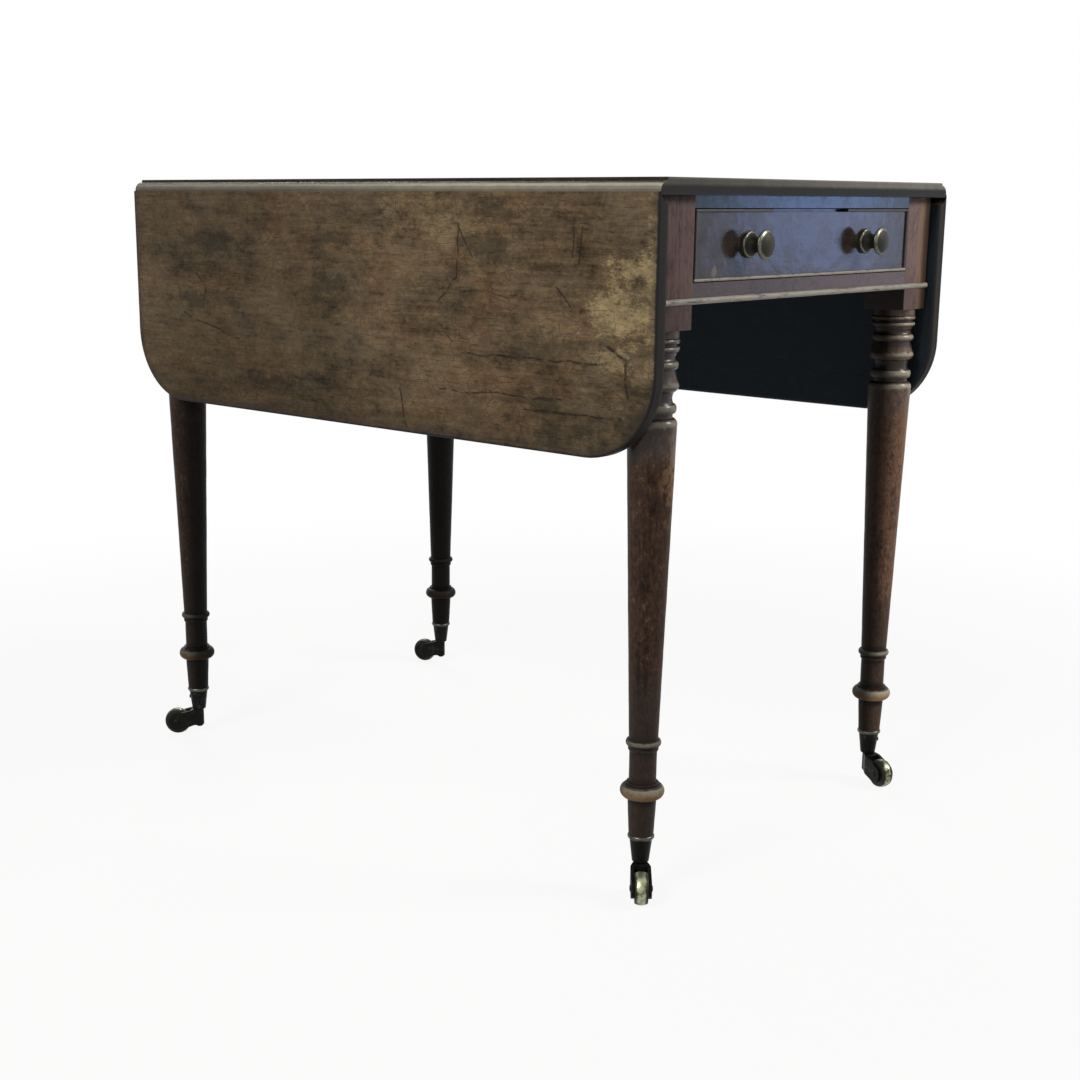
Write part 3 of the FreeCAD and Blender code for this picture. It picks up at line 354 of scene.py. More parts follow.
def leaf_finish(name, look, side, shift):
    """Faded face of a leaf with its stain marks and scratches, made lighter towards its ends and
    dark along its edges and at one corner as painted light and shade, and a dark inner face that is
    partly painted shade.
    """
    finish = Finish(name)
    color, dirt, mottle, tint, relief = faded_wood(finish, look, shift)
    drift = finish.cloud(26.0, (4.0, 9.0, 2.0), 1.5, 0.5)
    wander = finish.cloud(26.0, (8.0, 1.0, 6.0), 1.5, 0.5)
    spot = (finish.along + 0.012 * (drift - 0.5), finish.up + 0.009 * (wander - 0.5))
    ragged = 3.8 * (mottle - 0.5) + 1.5 * (tint - 0.5)
    bare = strongest(
        share * blemish(spot, *place, -1.0 * ragged) for *place, share in BARE_PATCHES
    )
    pale = finish.shade(look.bare_color, (2.4 * mottle - 0.22).most(0.3))
    color = color.under(pale, 0.8 * bare)
    # Stains, and painted shade at the leaf's lower front corner
    stain_and_shade_mask = strongest(blemish(spot, *place, ragged) for place in STAINS_AND_SHADE)
    color = color.under(look.stain_and_shade_color, 0.55 * stain_and_shade_mask)
    lines = strongest(stroke(spot, *scratch) for scratch in SCRATCHES)
    broken = finish.cloud((150.0, 90.0, 150.0), (1.0, 6.0, 3.0), 3.0, 0.7)
    lines = lines * rise(broken, 0.36, 0.52)
    dirt = dirt.most(0.75 * lines)
    color = color.under(look.grime_and_shade_color, dirt)
    # Painted light: the face is made lighter towards the front end and near the back end
    painted_light_ends = rise(finish.along, *LEAF_LIT_FRONT)
    painted_light_ends = painted_light_ends.most(0.5 * rise(finish.along, *LEAF_LIT_BACK))
    color = color.shaded(0.70 + 0.23 * painted_light_ends)
    color = color.shaded(0.76 + 0.24 * rise(finish.up, *LEAF_FOOT))
    low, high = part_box(f"{side}_leaf")
    inset = edge_distance(finish, low.z, high.y, look.corner_radius) + 0.004 * (mottle - 0.5)
    # Painted shade: dark along the free edges, softer further in, and greyer near the inner face
    rim = rise(inset, *LEAF_EDGE_SHADE).most(0.4 * rise(inset, *LEAF_SOFT_EDGE_SHADE))
    color = color.under(look.rim_color, rim)
    depth = abs(finish.across) - look.leaf_inner
    color = color.under(look.dull_color, 0.12 * rim * rise(depth, *LEAF_EDGE_DEPTH))
    # Dark inner face: unpolished wood made darker still as painted shade
    under = rise(depth, *LEAF_INNER_FACE)
    color = color.under(look.underside_and_shade_color, under)
    roughness = 0.5 + 0.4 * (mottle - 0.5) + 0.12 * dirt + 0.15 * under
    relief = relief + 0.8 * (1.0 - lines)
    return finish.close(color, roughness, relief, 0.0002, 0.05)


def top_finish(name, look, shift):
    """Faded upper face of the fixed top, with its rule joints and ends in pale and dark bands that
    are painted highlight and shade over some wear, and a dark underside that is partly painted
    shade.
    """
    finish = Finish(name)
    color, dirt, mottle, _, relief = faded_wood(finish, look, shift)
    color = color.under(look.grime_and_shade_color, dirt)
    half_width = look.joint_x
    height = finish.up + 0.0014 * (mottle - 0.5)
    outside = rise(abs(finish.across), half_width - 0.0006, half_width + 0.0002)
    # The rule joints are worn and painted as a lit moulding: a pale painted highlight that is
    # lighter towards the front end, a dark painted shade line, and dark at the top
    worn = finish.shade(look.joint_wear_and_highlight_color, 0.4 + 0.6 * rise(height, *JOINT_PALE))
    worn = worn.shaded(0.55 + 0.9 * mottle)
    worn = worn.shaded(0.62 + 0.38 * rise(finish.along, 0.15, -0.20))
    line = rise(abs(height - JOINT_LINE), 0.0009, 0.0003)
    worn = worn.under(look.rim_color, 0.35 * line)
    worn = worn.under(look.grime_and_shade_color, rise(height, *JOINT_DARK))
    color = color.under(worn, outside)
    # The top's ends: a pale painted highlight in the upper band, lighter towards +X, over dark
    # painted shade below
    end = rise(abs(finish.along), *TOP_END)
    pale = finish.shade(look.end_highlight_color, 0.45 + 0.55 * rise(finish.across, -0.26, 0.20))
    edge = finish.mix(look.rim_color, pale, rise(height, *TOP_EDGE_PALE))
    color = color.under(finish.shade(edge, 0.5 + mottle), end)
    # Dark underside: unpolished wood made darker still as painted shade
    under = rise(finish.up, *TOP_UNDER)
    color = color.under(look.underside_and_shade_color, under)
    roughness = 0.46 + 0.4 * (mottle - 0.5) + 0.12 * dirt + 0.15 * under
    return finish.close(color, roughness, relief, 0.0002, 0.06)


def frame_finish(name, look, axis, shift, gloss, depth):
    """Red-brown mahogany with worn, cloudy polish, made darker by a depth, for the frieze, made
    lighter towards +X as painted light, with painted shade on the blocks' outer sides, below the
    frieze and on the blocks' inner faces, and a gloss tinted blue as a painted reflection.
    """
    finish = Finish(name)
    fibre, figure, pores = wood_grain(finish, axis, shift)
    cloudy = finish.cloud(26.0, shift, 5.0, 0.65, 0.4)
    fleck = finish.cloud(grain_scale(90.0, 300.0, axis), shift, 4.0, 0.72)
    tone = 0.14 * figure + 0.22 * fibre + 0.30 * cloudy + 0.34 * fleck
    # Painted light: the wood is made lighter towards +X
    rich = finish.mix(look.frame_color, look.painted_light_frame_color, rise(finish.across, -0.2, 0.26))
    color = finish.mix(look.shade_color, finish.shade(rich, depth), rise(tone, 0.34, 0.52))
    worn = rise(fleck + 0.3 * (cloudy - 0.5), 0.60, 0.74)
    color = color.under(look.worn_color, 0.5 * worn)
    corner = finish.across + 0.008 * (cloudy - 0.5)
    color = color.under(look.tan_color, 0.7 * rise(corner, *BLOCK_TAN))
    # Painted shade on the outer sides of the +X blocks
    color = color.under(look.shade_color, 0.85 * rise(corner, *BLOCK_SHADE))
    # Painted shade: darker below the frieze, and darkest on the blocks' inner faces there; the
    # pores are dirt
    below = rise(finish.up, *BELOW_FRIEZE)
    color = color.shaded(1.0 - 0.25 * below)
    inner = rise(abs(finish.across), *BLOCK_INNER) * below
    color = color.under(look.grime_and_shade_color, (0.9 * inner).most(0.5 * pores))
    bloom = rise(finish.cloud(300.0, shift, 3.0, 0.7), 0.42, 0.66)
    roughness = 0.52 - 0.28 * gloss + 0.2 * worn + 0.2 * (cloudy - 0.5) + 0.12 * bloom
    height = 0.5 * fibre + 0.5 * (1.0 - pores) + 0.5 * bloom
    # The gloss is tinted blue as a painted reflection
    return finish.close(color, roughness, height, 0.00012, 0.08 + 0.24 * gloss, look.painted_reflection_tint)


def turned_finish(name, look, shift):
    """Dark worn mahogany of the turned legs, rubbed on the crests, with painted highlight on the
    crests' upper sides, dirt and painted shade in the hollows, the front right leg painted lighter,
    and the inward sides and the back legs painted darker.
    """
    finish = Finish(name)
    crest, upward, rub, inward = (
        finish.attribute(kind) for kind in ("crest", "upward", "rub", "inward")
    )
    fibre, figure, pores = wood_grain(finish, "Z", shift)
    cloudy = finish.cloud((34.0, 34.0, 18.0), shift, 5.0, 0.68, 0.5)
    fleck = finish.cloud((200.0, 200.0, 130.0), shift, 4.0, 0.85)
    tone = 0.24 * figure + 0.22 * fibre + 0.34 * cloudy + 0.2 * fleck
    color = finish.mix(look.shade_color, look.leg_color, rise(tone, 0.38, 0.54))
    # Painted light: the front right leg is made lighter, with more chips and paler rings, as if lit
    faded = rise(finish.across - finish.along, 0.35, 0.55)
    color = color.shaded((1.0 + 2.8 * faded) * (1.0 + 3.0 * (fleck - 0.5)))
    flake = finish.cloud((120.0, 120.0, 60.0), shift, 4.0, 0.65)
    chips = rise(fleck + 0.4 * (cloudy - 0.5) + 0.03 * faded, 0.59, 0.69)
    color = color.under(look.worn_color, (0.5 + 0.45 * faded) * chips)
    rubbed = rise(flake + 0.30 * rub, 0.60, 0.68) * rub
    color = color.under(finish.shade(look.tan_color, 0.6 + 0.8 * fleck), rubbed.least(0.9))
    # Dirt and painted shade in the hollows of the turnings
    hollow = rise(crest + 0.3 * (fleck - 0.5), 0.0, -0.7)
    color = color.under(look.grime_and_shade_color, 0.85 * hollow)
    foot = rise(finish.up, *LEG_FOOT)
    turnings = rise(finish.up, *LEG_TURNINGS)
    color = color.under(look.foot_color, (0.65 * foot).most(0.35 * turnings))
    ball = rise(abs(finish.up - LEG_BALL), *BALL_REACH)
    # Crests rubbed pale, kept mostly to their upper sides as a painted highlight; the ball's lower
    # half is rubbed tan
    bare = rise(crest + 1.6 * (fleck - 0.5) + 1.2 * (cloudy - 0.5), 0.30, 0.90)
    bare = bare * ball.most(rise(upward, -0.45, 0.10))
    upper = rise(upward + 2.4 * (fleck - 0.5), -0.10, 0.55)
    ring = finish.mix(look.crest_wear_and_highlight_color, look.tan_color, ball * (1.0 - upper))
    ring = ring.shaded((0.7 + 0.3 * ball.most(turnings)) * (1.0 + 0.9 * faded))
    color = color.under(ring, (0.9 - 0.2 * turnings) * bare)
    # Painted shade: darker on the sides that face in under the table, and on the back legs
    back = rise(finish.along, -0.2, 0.2)
    kept = 0.85 * rise(inward, -0.45, 0.50)
    color = color.shaded((1.0 - kept) * (1.0 - 0.45 * back))
    color = color.under(look.grime_and_shade_color, 0.4 * pores)
    roughness = 0.46 + 0.2 * chips + 0.1 * bare + 0.15 * (cloudy - 0.5)
    height = 0.45 * fibre + 0.5 * (1.0 - pores) + 0.7 * (1.0 - chips) + 0.4 * cloudy
    polish = 0.4 * turnings * (1.0 - kept)
    coat = {"Coat Weight": polish, "Coat Roughness": 0.25}
    return finish.close(color, roughness, height, 0.0003, 0.07, **coat)


def drawer_finish(name, look, shift, depth, gloss, tint):
    """Dark glossy mahogany with old polish that has gone cloudy and uneven."""
    finish = Finish(name)
    fibre, figure, _ = wood_grain(finish, "X", shift)
    cloudy = finish.cloud((38.0, 38.0, 46.0), shift, 5.0, 0.75, 0.5)
    wavy = finish.cloud((40.0, 40.0, 60.0), shift, 2.0, 0.5, 0.2)
    grit = finish.cloud((260.0, 260.0, 330.0), shift, 3.0, 0.65)
    tone = 0.5 * figure + 0.25 * fibre + 0.25 * cloudy
    color = finish.mix(look.shade_color, look.drawer_color, rise(tone, 0.38, 0.58))
    color = color.shaded(depth)
    crazed = rise(finish.cloud(330.0, shift, 3.0, 0.7), 0.52, 0.72)
    color = color.under(look.bloom_color, 0.5 * crazed)
    rubs = rise(finish.cloud((40.0, 40.0, 70.0), shift, 5.0, 0.7), 0.72, 0.79)
    beside, above = finish.across - DRAWER_SCUFF[0], finish.up - DRAWER_SCUFF[1]
    scuff = (beside**2.0 + above**2.0) ** 0.5
    rubs = rubs.most(rise(scuff + 0.02 * (cloudy - 0.5), 0.007, 0.003))
    color = color.under(look.worn_color, 0.7 * rubs)
    roughness = 0.12 + 0.10 * crazed + 0.3 * rubs + 0.08 * rise(cloudy, 0.40, 0.66)
    height = wavy + 0.14 * grit + 0.03 * fibre
    # The tint colours the gloss blue as a painted reflection
    return finish.close(color, roughness, height, 0.0003, gloss, tint)


def bead_finish(name, look, axis, shift, shade_from):
    """A bead rubbed pale, with dark polish left in patches, and painted shade above a height."""
    finish = Finish(name)
    fibre, _, pores = wood_grain(finish, axis, shift)
    patch = finish.cloud(grain_scale(38.0, 160.0, axis), shift, 5.0, 0.72)
    kept = rise(patch + 0.3 * fibre, 0.66, 0.84)
    kept = kept.most(rise(finish.up + 0.003 * (patch - 0.5), shade_from - 0.001, shade_from))
    color = finish.mix(look.bead_color, look.polish_and_shade_color, kept)
    color = color.under(look.grime_and_shade_color, 0.5 * pores)
    roughness = 0.5 + 0.2 * (patch - 0.5) - 0.1 * kept
    relief = fibre + 0.6 * (1.0 - pores)
    return finish.close(color, roughness, relief, 0.00018, 0.3)


def plain_wood_finish(name, color, dark, axis, shift):
    """Bare inner wood, dry and darkened with age."""
    finish = Finish(name)
    fibre, figure, pores = wood_grain(finish, axis, shift)
    rings = finish.cloud(grain_scale(2.2, 62.0, axis), shift, 4.0, 0.55, 0.5)
    dirt = finish.cloud(14.0, shift, 5.0, 0.65)
    tone = 0.5 * rings + 0.3 * fibre + 0.2 * figure
    tint = finish.mix(dark, color, rise(tone, 0.38, 0.58))
    tint = tint.under(dark, 0.6 * rise(dirt, 0.48, 0.68))
    tint = tint.under(dark, 0.4 * pores)
    roughness = 0.72 + 0.15 * (dirt - 0.5)
    relief = fibre + 0.6 * (1.0 - pores)
    return finish.close(tint, roughness, relief, 0.00025, 0.25)


def brass_finish(name, bright, dark, wear, shift, turned=False, rim=None):
    """Brass under a brown-black patina, rubbed bright by wear, on crests and above a rim."""
    finish = Finish(name)
    patch = finish.cloud(120.0, shift, 5.0, 0.68, 0.4)
    pits = finish.cloud(900.0, shift, 3.0, 0.65)
    bare = patch + 0.35 * (pits - 0.5) + wear
    if turned:
        bare = bare + 0.22 * finish.attribute("crest")
    if rim is not None:
        bare = bare + 0.3 * rise(finish.up, rim - 0.0006, rim)
    rubbed = rise(bare, 0.60, 0.85)
    color = finish.mix(dark, bright, rubbed)
    pitted = rise(pits, 0.60, 0.75)
    color = color.under(dark, 0.5 * pitted)
    roughness = 0.50 - 0.18 * rubbed + 0.2 * pitted
    metallic = 0.55 + 0.4 * rubbed
    relief = patch + 0.5 * (1.0 - pitted)
    return finish.close(color, roughness, relief, 0.00012, 0.12, Metallic=metallic)


def iron_finish(name, color, rust):
    """Blackened iron with specks of rust."""
    finish = Finish(name)
    patch = finish.cloud(160.0, NO_SHIFT, 5.0, 0.7)
    pits = finish.cloud(1100.0, NO_SHIFT, 3.0, 0.6)
    rusty = rise(patch, 0.52, 0.68)
    tint = finish.mix(color, rust, 0.7 * rusty)
    roughness = 0.48 + 0.3 * rusty
    relief = patch + 0.5 * pits
    return finish.close(tint, roughness, relief, 0.00015, Metallic=0.85 - 0.6 * rusty)


def new_object(name, data):
    """An object in the scene that holds a mesh, a lamp or a camera."""
    item = bpy.data.objects.new(name, data)
    bpy.context.scene.collection.objects.link(item)
    return item


def add_piece(name, mesh, material, body, slot, *nodes):
    """Puts a finished mesh on a body, in the place of CAD nodes where some are given."""
    mesh.materials.clear()
    mesh.materials.append(material)
    piece = new_object(name, mesh)
    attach(piece, body)
    if nodes:
        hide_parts(*nodes)
    return piece


def paint(material, *nodes):
    """Gives CAD nodes a material."""
    for node in nodes:
        slots = frame["nodes"][node].data.materials
        slots.clear()
        slots.append(material)


def solid_mesh(name, shape, smooth_angle):
    """Turns a closed bmesh into a mesh with outward faces, smooth below an angle."""
    bmesh.ops.recalc_face_normals(shape, faces=shape.faces)
    mesh = bpy.data.meshes.new(name)
    shape.to_mesh(mesh)
    shape.free()
    mesh.shade_smooth()
    mesh.set_sharp_from_angle(angle=smooth_angle)
    return mesh


def node_edges(node, origin, axis, reach):
    """Ends of a CAD node's edges near an axis, as height along it and offset from it."""
    mesh = frame["nodes"][node].data
    points = np.empty(len(mesh.vertices) * 3)
    mesh.vertices.foreach_get("co", points)
    points = points.reshape(-1, 3) - np.array(origin)
    heights = points @ np.array(axis)
    offsets = points - np.outer(heights, axis)
    pairs = np.empty(len(mesh.edges) * 2, dtype=int)
    mesh.edges.foreach_get("vertices", pairs)
    pairs = pairs.reshape(-1, 2)
    near = np.linalg.norm(offsets, axis=1) < reach
    pairs = pairs[near[pairs].all(axis=1)]
    return heights[pairs], offsets[pairs]


def turned_profile(node, origin, axis, low, high, reach, spacing):
    """Heights and radii of a turned CAD node, read where its edges cross close heights."""
    heights, offsets = node_edges(node, origin, axis, reach)
    levels, counts = np.unique(np.round(heights, 5), return_counts=True)
    rings = levels[(counts > 60) & (levels > low + 3 * HAIR) & (levels < high - 3 * HAIR)]
    levels = [low, *rings, high]
    wanted = []
    for level, above in zip(levels, levels[1:]):
        if above - level > 3 * HAIR:
            count = max(1, math.ceil((above - level) / spacing))
            wanted.extend(np.linspace(level + HAIR, above - HAIR, count + 1))
    profile = []
    for level in wanted:
        crossing = (heights.min(axis=1) <= level) & (heights.max(axis=1) > level)
        first, second = heights[crossing, 0], heights[crossing, 1]
        share = ((level - first) / (second - first))[:, None]
        spots = offsets[crossing, 0] * (1 - share) + offsets[crossing, 1] * share
        radius = np.linalg.norm(spots, axis=1).max()
        if profile:
            rise_up, swell = level - profile[-1][0], abs(radius - profile[-1][1])
            if swell < HAIR and rise_up < spacing / 3:
                continue
        profile.append((level, radius))
    return profile


def crests(profile, span):
    """How far each point of a profile stands out from its neighbours: 1 crest, -1 hollow."""
    heights = np.array([height for height, radius in profile])
    radii = np.array([radius for height, radius in profile])
    values = []
    for height, radius in profile:
        near = np.abs(heights - height) < span
        spread = max(np.ptp(heights[near]), 1e-6)
        mean = np.trapz(radii[near], heights[near]) / spread
        values.append(float(np.clip((radius - mean) / (0.12 * span), -1.0, 1.0)))
    return values


class Tree(Graph):
    """A Geometry Nodes tree with named inputs."""

    def __init__(self, name, inputs):
        super().__init__(bpy.data.node_groups.new(name, "GeometryNodeTree"))
        self.ids = {}
        for label, kind in [("Geometry", "Geometry")] + list(inputs):
            self.ids[label] = self.socket(label, "INPUT", kind).identifier
        self.socket("Geometry", "OUTPUT", "Geometry")
        self.start = self.tree.nodes.new("NodeGroupInput")

    def socket(self, label, side, kind):
        kind = f"NodeSocket{kind}"
        return self.tree.interface.new_socket(label, in_out=side, socket_type=kind)

    def value(self, label):
        return Wire(self, self.find(self.start.outputs, self.ids[label]))

    def named(self, name, kind="FLOAT"):
        """An attribute of the points."""
        return self.node("GeometryNodeInputNamedAttribute", {"data_type": kind}, {"Name": name})

    def end(self, geometry):
        """Ends the tree in real geometry that has the material."""
        real = self.node("GeometryNodeRealizeInstances", None, {0: geometry})
        sockets = {"Geometry": real, "Material": self.value("Material")}
        dressed = self.node("GeometryNodeSetMaterial", None, sockets)
        self.node("NodeGroupOutput", None, {0: dressed})

    def grow(self, source, **values):
        """The plain mesh that the tree makes from a source mesh and its input values."""
        holder = new_object("holder", source)
        modifier = holder.modifiers.new("tree", "NODES")
        modifier.node_group = self.tree
        for label, value in values.items():
            modifier[self.ids[label]] = value
        depsgraph = bpy.context.evaluated_depsgraph_get()
        mesh = bpy.data.meshes.new_from_object(holder.evaluated_get(depsgraph))
        holder.modifiers.remove(modifier)
        bpy.data.objects.remove(holder)
        return mesh


def turning_tree():
    """Turns a profile, whose points hold radius and height, round the Z axis."""
    inputs = [("Segments", "Int"), ("Wobble", "Float"), ("Seed", "Int"), ("Material", "Material")]
    tree = Tree("Turned piece", inputs)
    profile = tree.value("Geometry")
    segments = tree.value("Segments")
    rows = tree.node(
        "GeometryNodeAttributeDomainSize", {"component": "MESH"}, {0: profile}, "Point Count"
    )
    sockets = {"Vertices X": segments + 1.0, "Vertices Y": rows}
    grid = tree.node("GeometryNodeMeshGrid", None, sockets)
    index = tree.node("GeometryNodeInputIndex")
    column = index.join("FLOOR", (index + 0.5) / rows)
    row = index - column * rows
    angle = column / segments * math.tau

    def of_profile(kind, value):
        sockets = {"Geometry": profile, "Value": value, "Index": row}
        return tree.node("GeometryNodeSampleIndex", {"data_type": kind}, sockets)

    spot = of_profile("FLOAT_VECTOR", tree.node("GeometryNodeInputPosition"))
    split = tree.node("ShaderNodeSeparateXYZ", None, {0: spot}).socket.node.outputs
    radius, height = Wire(tree, split[0]), Wire(tree, split[2])
    cosine, sine = angle.join("COSINE", angle), angle.join("SINE", angle)
    ring = {"X": radius * cosine * 55.0, "Y": radius * sine * 55.0, "Z": height * 38.0}
    ring["Z"] = ring["Z"] + tree.value("Seed") * 7.3
    place = tree.node("ShaderNodeCombineXYZ", None, ring)
    rough = tree.node("ShaderNodeTexNoise", None, {"Vector": place, "Scale": 1.0, "Detail": 3.0})
    inside = radius.join("GREATER_THAN", radius, HAIR)
    radius = radius + (rough - 0.5) * tree.value("Wobble") * inside
    ring = {"X": radius * cosine, "Y": radius * sine, "Z": height}
    place = tree.node("ShaderNodeCombineXYZ", None, ring)
    kept = tree.node("GeometryNodeSetPosition", None, {"Geometry": grid, "Position": place})
    for name in ("crest", "upward"):
        sockets = {"Geometry": kept, "Name": name, "Value": of_profile("FLOAT", tree.named(name))}
        settings = {"data_type": "FLOAT", "domain": "POINT"}
        kept = tree.node("GeometryNodeStoreNamedAttribute", settings, sockets)
    sockets = {"Geometry": kept, "Distance": 1e-6}
    tree.end(tree.node("GeometryNodeMergeByDistance", None, sockets))
    return tree


def profile_mesh(profile, span):
    """A line of points with radius along X and height along Z, and its crests."""
    top, bottom = profile[-1][0], profile[0][0]
    points = [(bottom, 0.0)] + list(profile) + [(top, 0.0)]
    mesh = bpy.data.meshes.new("profile")
    edges = [(index, index + 1) for index in range(len(points) - 1)]
    mesh.from_pydata([(radius, 0.0, height) for height, radius in points], edges, [])
    values = crests(profile, span)
    store(mesh, "crest", [values[0]] + values + [values[-1]])
    heights, radii = np.array(points).T
    path = np.concatenate([[0.0], np.cumsum(np.hypot(np.diff(heights), np.diff(radii)))])
    ahead, behind = path + 0.8 * MM, path - 0.8 * MM
    climb = np.interp(ahead, path, heights) - np.interp(behind, path, heights)
    spread = np.interp(ahead, path, radii) - np.interp(behind, path, radii)
    store(mesh, "upward", -spread / np.maximum(np.hypot(climb, spread), 1e-9))
    return mesh


def store(mesh, name, values):
    """Keeps a number for each of a mesh's points under a name."""
    attribute = mesh.attributes.new(name, "FLOAT", "POINT")
    attribute.data.foreach_set("value", np.asarray(values, dtype=np.float32))


def turned_mesh(name, tree, profile, span, segments, wobble, seed, material, placements):
    """Like turned pieces in one closed, smooth mesh, one for each placement."""
    source = profile_mesh(profile, span)
    shape = bmesh.new()
    for place in placements:
        grown = tree.grow(source, Segments=segments, Wobble=wobble, Seed=seed, Material=material)
        grown.transform(place)
        shape.from_mesh(grown)
        bpy.data.meshes.remove(grown)
    bpy.data.meshes.remove(source)
    return solid_mesh(name, shape, SMOOTH_ANGLE)


def upright_on(origin, axis):
    """Places a piece that was turned round Z on another axis."""
    turn = Vector(axis).to_track_quat("Z", "Y").to_matrix().to_4x4()
    return Matrix.Translation(origin) @ turn


def screw_tree():
    """Puts a slotted screw head on each point, facing the way the point's attribute says."""
    tree = Tree("Slotted screws", [("Seed", "Int"), ("Material", "Material")])
    sockets = {"Vertices": 16, "Radius": 1.0, "Depth": 0.5}
    disc = tree.node("GeometryNodeMeshCylinder", None, sockets)
    sockets = {"Geometry": disc, "Translation": (0.0, 0.0, -0.25)}
    disc = tree.node("GeometryNodeTransform", None, sockets)
    slot = tree.node("GeometryNodeMeshCube", None, {"Size": (3.0, 0.3, 0.36)})
    settings = {"operation": "DIFFERENCE", "solver": "EXACT"}
    sockets = {"Mesh 1": disc, "Mesh 2": slot}
    head = tree.node("GeometryNodeMeshBoolean", settings, sockets)
    facing, size = tree.named("facing", "FLOAT_VECTOR"), tree.named("size")
    turn = tree.node("FunctionNodeAlignRotationToVector", {"axis": "Z"}, {"Vector": facing})
    sockets = {"Points": tree.value("Geometry"), "Instance": head, "Rotation": turn, "Scale": size}
    heads = tree.node("GeometryNodeInstanceOnPoints", None, sockets)
    sockets = {"Max_001": math.tau, "Seed": tree.value("Seed")}
    spin = tree.node("FunctionNodeRandomValue", {"data_type": "FLOAT"}, sockets, "Value_001")
    angles = tree.node("ShaderNodeCombineXYZ", None, {"Z": spin})
    sockets = {"Instances": heads, "Rotation": angles}
    tree.end(tree.node("GeometryNodeRotateInstances", None, sockets))
    return tree


def screw_points(node):
    """A point on the head of each screw in a CAD node, with its facing and its radius."""
    shape = bmesh.new()
    shape.from_mesh(frame["nodes"][node].data)
    bmesh.ops.remove_doubles(shape, verts=shape.verts, dist=1e-6)
    left = set(shape.verts)
    spots, facings, sizes = [], [], []
    while left:
        group, edge = set(), {left.pop()}
        while edge:
            group |= edge
            edge = {link.other_vert(vert) for vert in edge for link in vert.link_edges} - group
        left -= group
        points = np.array([vert.co for vert in group])
        middle = points.mean(axis=0)
        axis = np.linalg.eigh(np.cov((points - middle).T))[1][:, 2]
        heights = (points - middle) @ axis
        radii = np.linalg.norm(points - middle - np.outer(heights, axis), axis=1)
        if heights[radii.argmax()] < 0:
            axis, heights = -axis, -heights
        spots.append(middle + axis * heights.max())
        facings.append(axis)
        sizes.append(radii.max())
    shape.free()
    mesh = bpy.data.meshes.new("screws")
    mesh.from_pydata(spots, [], [])
    attribute = mesh.attributes.new("facing", "FLOAT_VECTOR", "POINT")
    attribute.data.foreach_set("vector", np.array(facings, dtype=np.float32).ravel())
    store(mesh, "size", sizes)
    return mesh


def rounded_block(low, high, bevel, segments=3):
    """A block with rounded edges."""
    shape = bmesh.new()
    bmesh.ops.create_cube(shape, size=1.0)
    middle = (Vector(low) + Vector(high)) / 2
    size = Vector(high) - Vector(low)
    for vertex in shape.verts:
        vertex.co = Vector(a * b for a, b in zip(vertex.co, size)) + middle
    options = {"segments": segments, "profile": 0.5, "affect": "EDGES", "clamp_overlap": True}
    bmesh.ops.bevel(shape, geom=shape.edges[:], offset=bevel, **options)
    return shape


def color_property(name, description, color):
    options = {"subtype": "COLOR", "size": 3, "min": 0.0, "max": 1.0}
    return FloatVectorProperty(name=name, description=description, default=color, **options)


def number_property(name, description, default, **options):
    return FloatProperty(name=name, description=description, default=default, **options)


class BoardLook(bpy.types.PropertyGroup):
    """Finish of the fixed top and the leaves."""

    faded_color: color_property("Faded", "Polish faded by daylight", (0.096, 0.068, 0.0395))
    # Colour of the stains and of the painted shade at a leaf's lower front corner
    stain_and_shade_color: color_property("Stain", "Darker, stained wood", (0.036, 0.029, 0.019))
    bare_color: color_property("Bare", "Wood rubbed bare", (0.250, 0.194, 0.104))
    warm_color: color_property("Warm", "Redder wood", (0.098, 0.060, 0.033))
    dull_color: color_property("Dull", "Grayer wood", (0.072, 0.058, 0.040))
    # Worn rule joints, pale as a painted highlight
    joint_wear_and_highlight_color: color_property("Rule joint", "Worn rule joints and ends", (0.310, 0.284, 0.226))
    # Painted highlight on the top's ends
    end_highlight_color: color_property("Edge", "Rubbed end edges of the top", (0.138, 0.132, 0.114))
    # Painted shade on the leaves' edges, on the rule joint line and in the lower band of the top's
    # ends
    rim_color: color_property("Rim", "Dark edges", (0.017, 0.016, 0.016))
    # Dirt in scratches, and the dark top of the rule joints
    grime_and_shade_color: color_property("Grime", "Dirt in scratches and steps", (0.012, 0.010, 0.008))
    # Unpolished undersides, made darker as painted shade
    underside_and_shade_color: color_property("Underside", "Unpolished underside", (0.022, 0.029, 0.038))
    corner_radius: number_property(
        "Corner radius", "Radius of a leaf's corners", 0.085, unit="LENGTH"
    )
    leaf_inner: number_property(
        "Leaf inner face",
        "Distance of a hanging leaf's inner face from the middle",
        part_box("right_leaf")[0].x,
        unit="LENGTH",
    )
    joint_x: number_property(
        "Rule joint", "Distance of the rule joints' steps from the middle", 0.261, unit="LENGTH"
    )


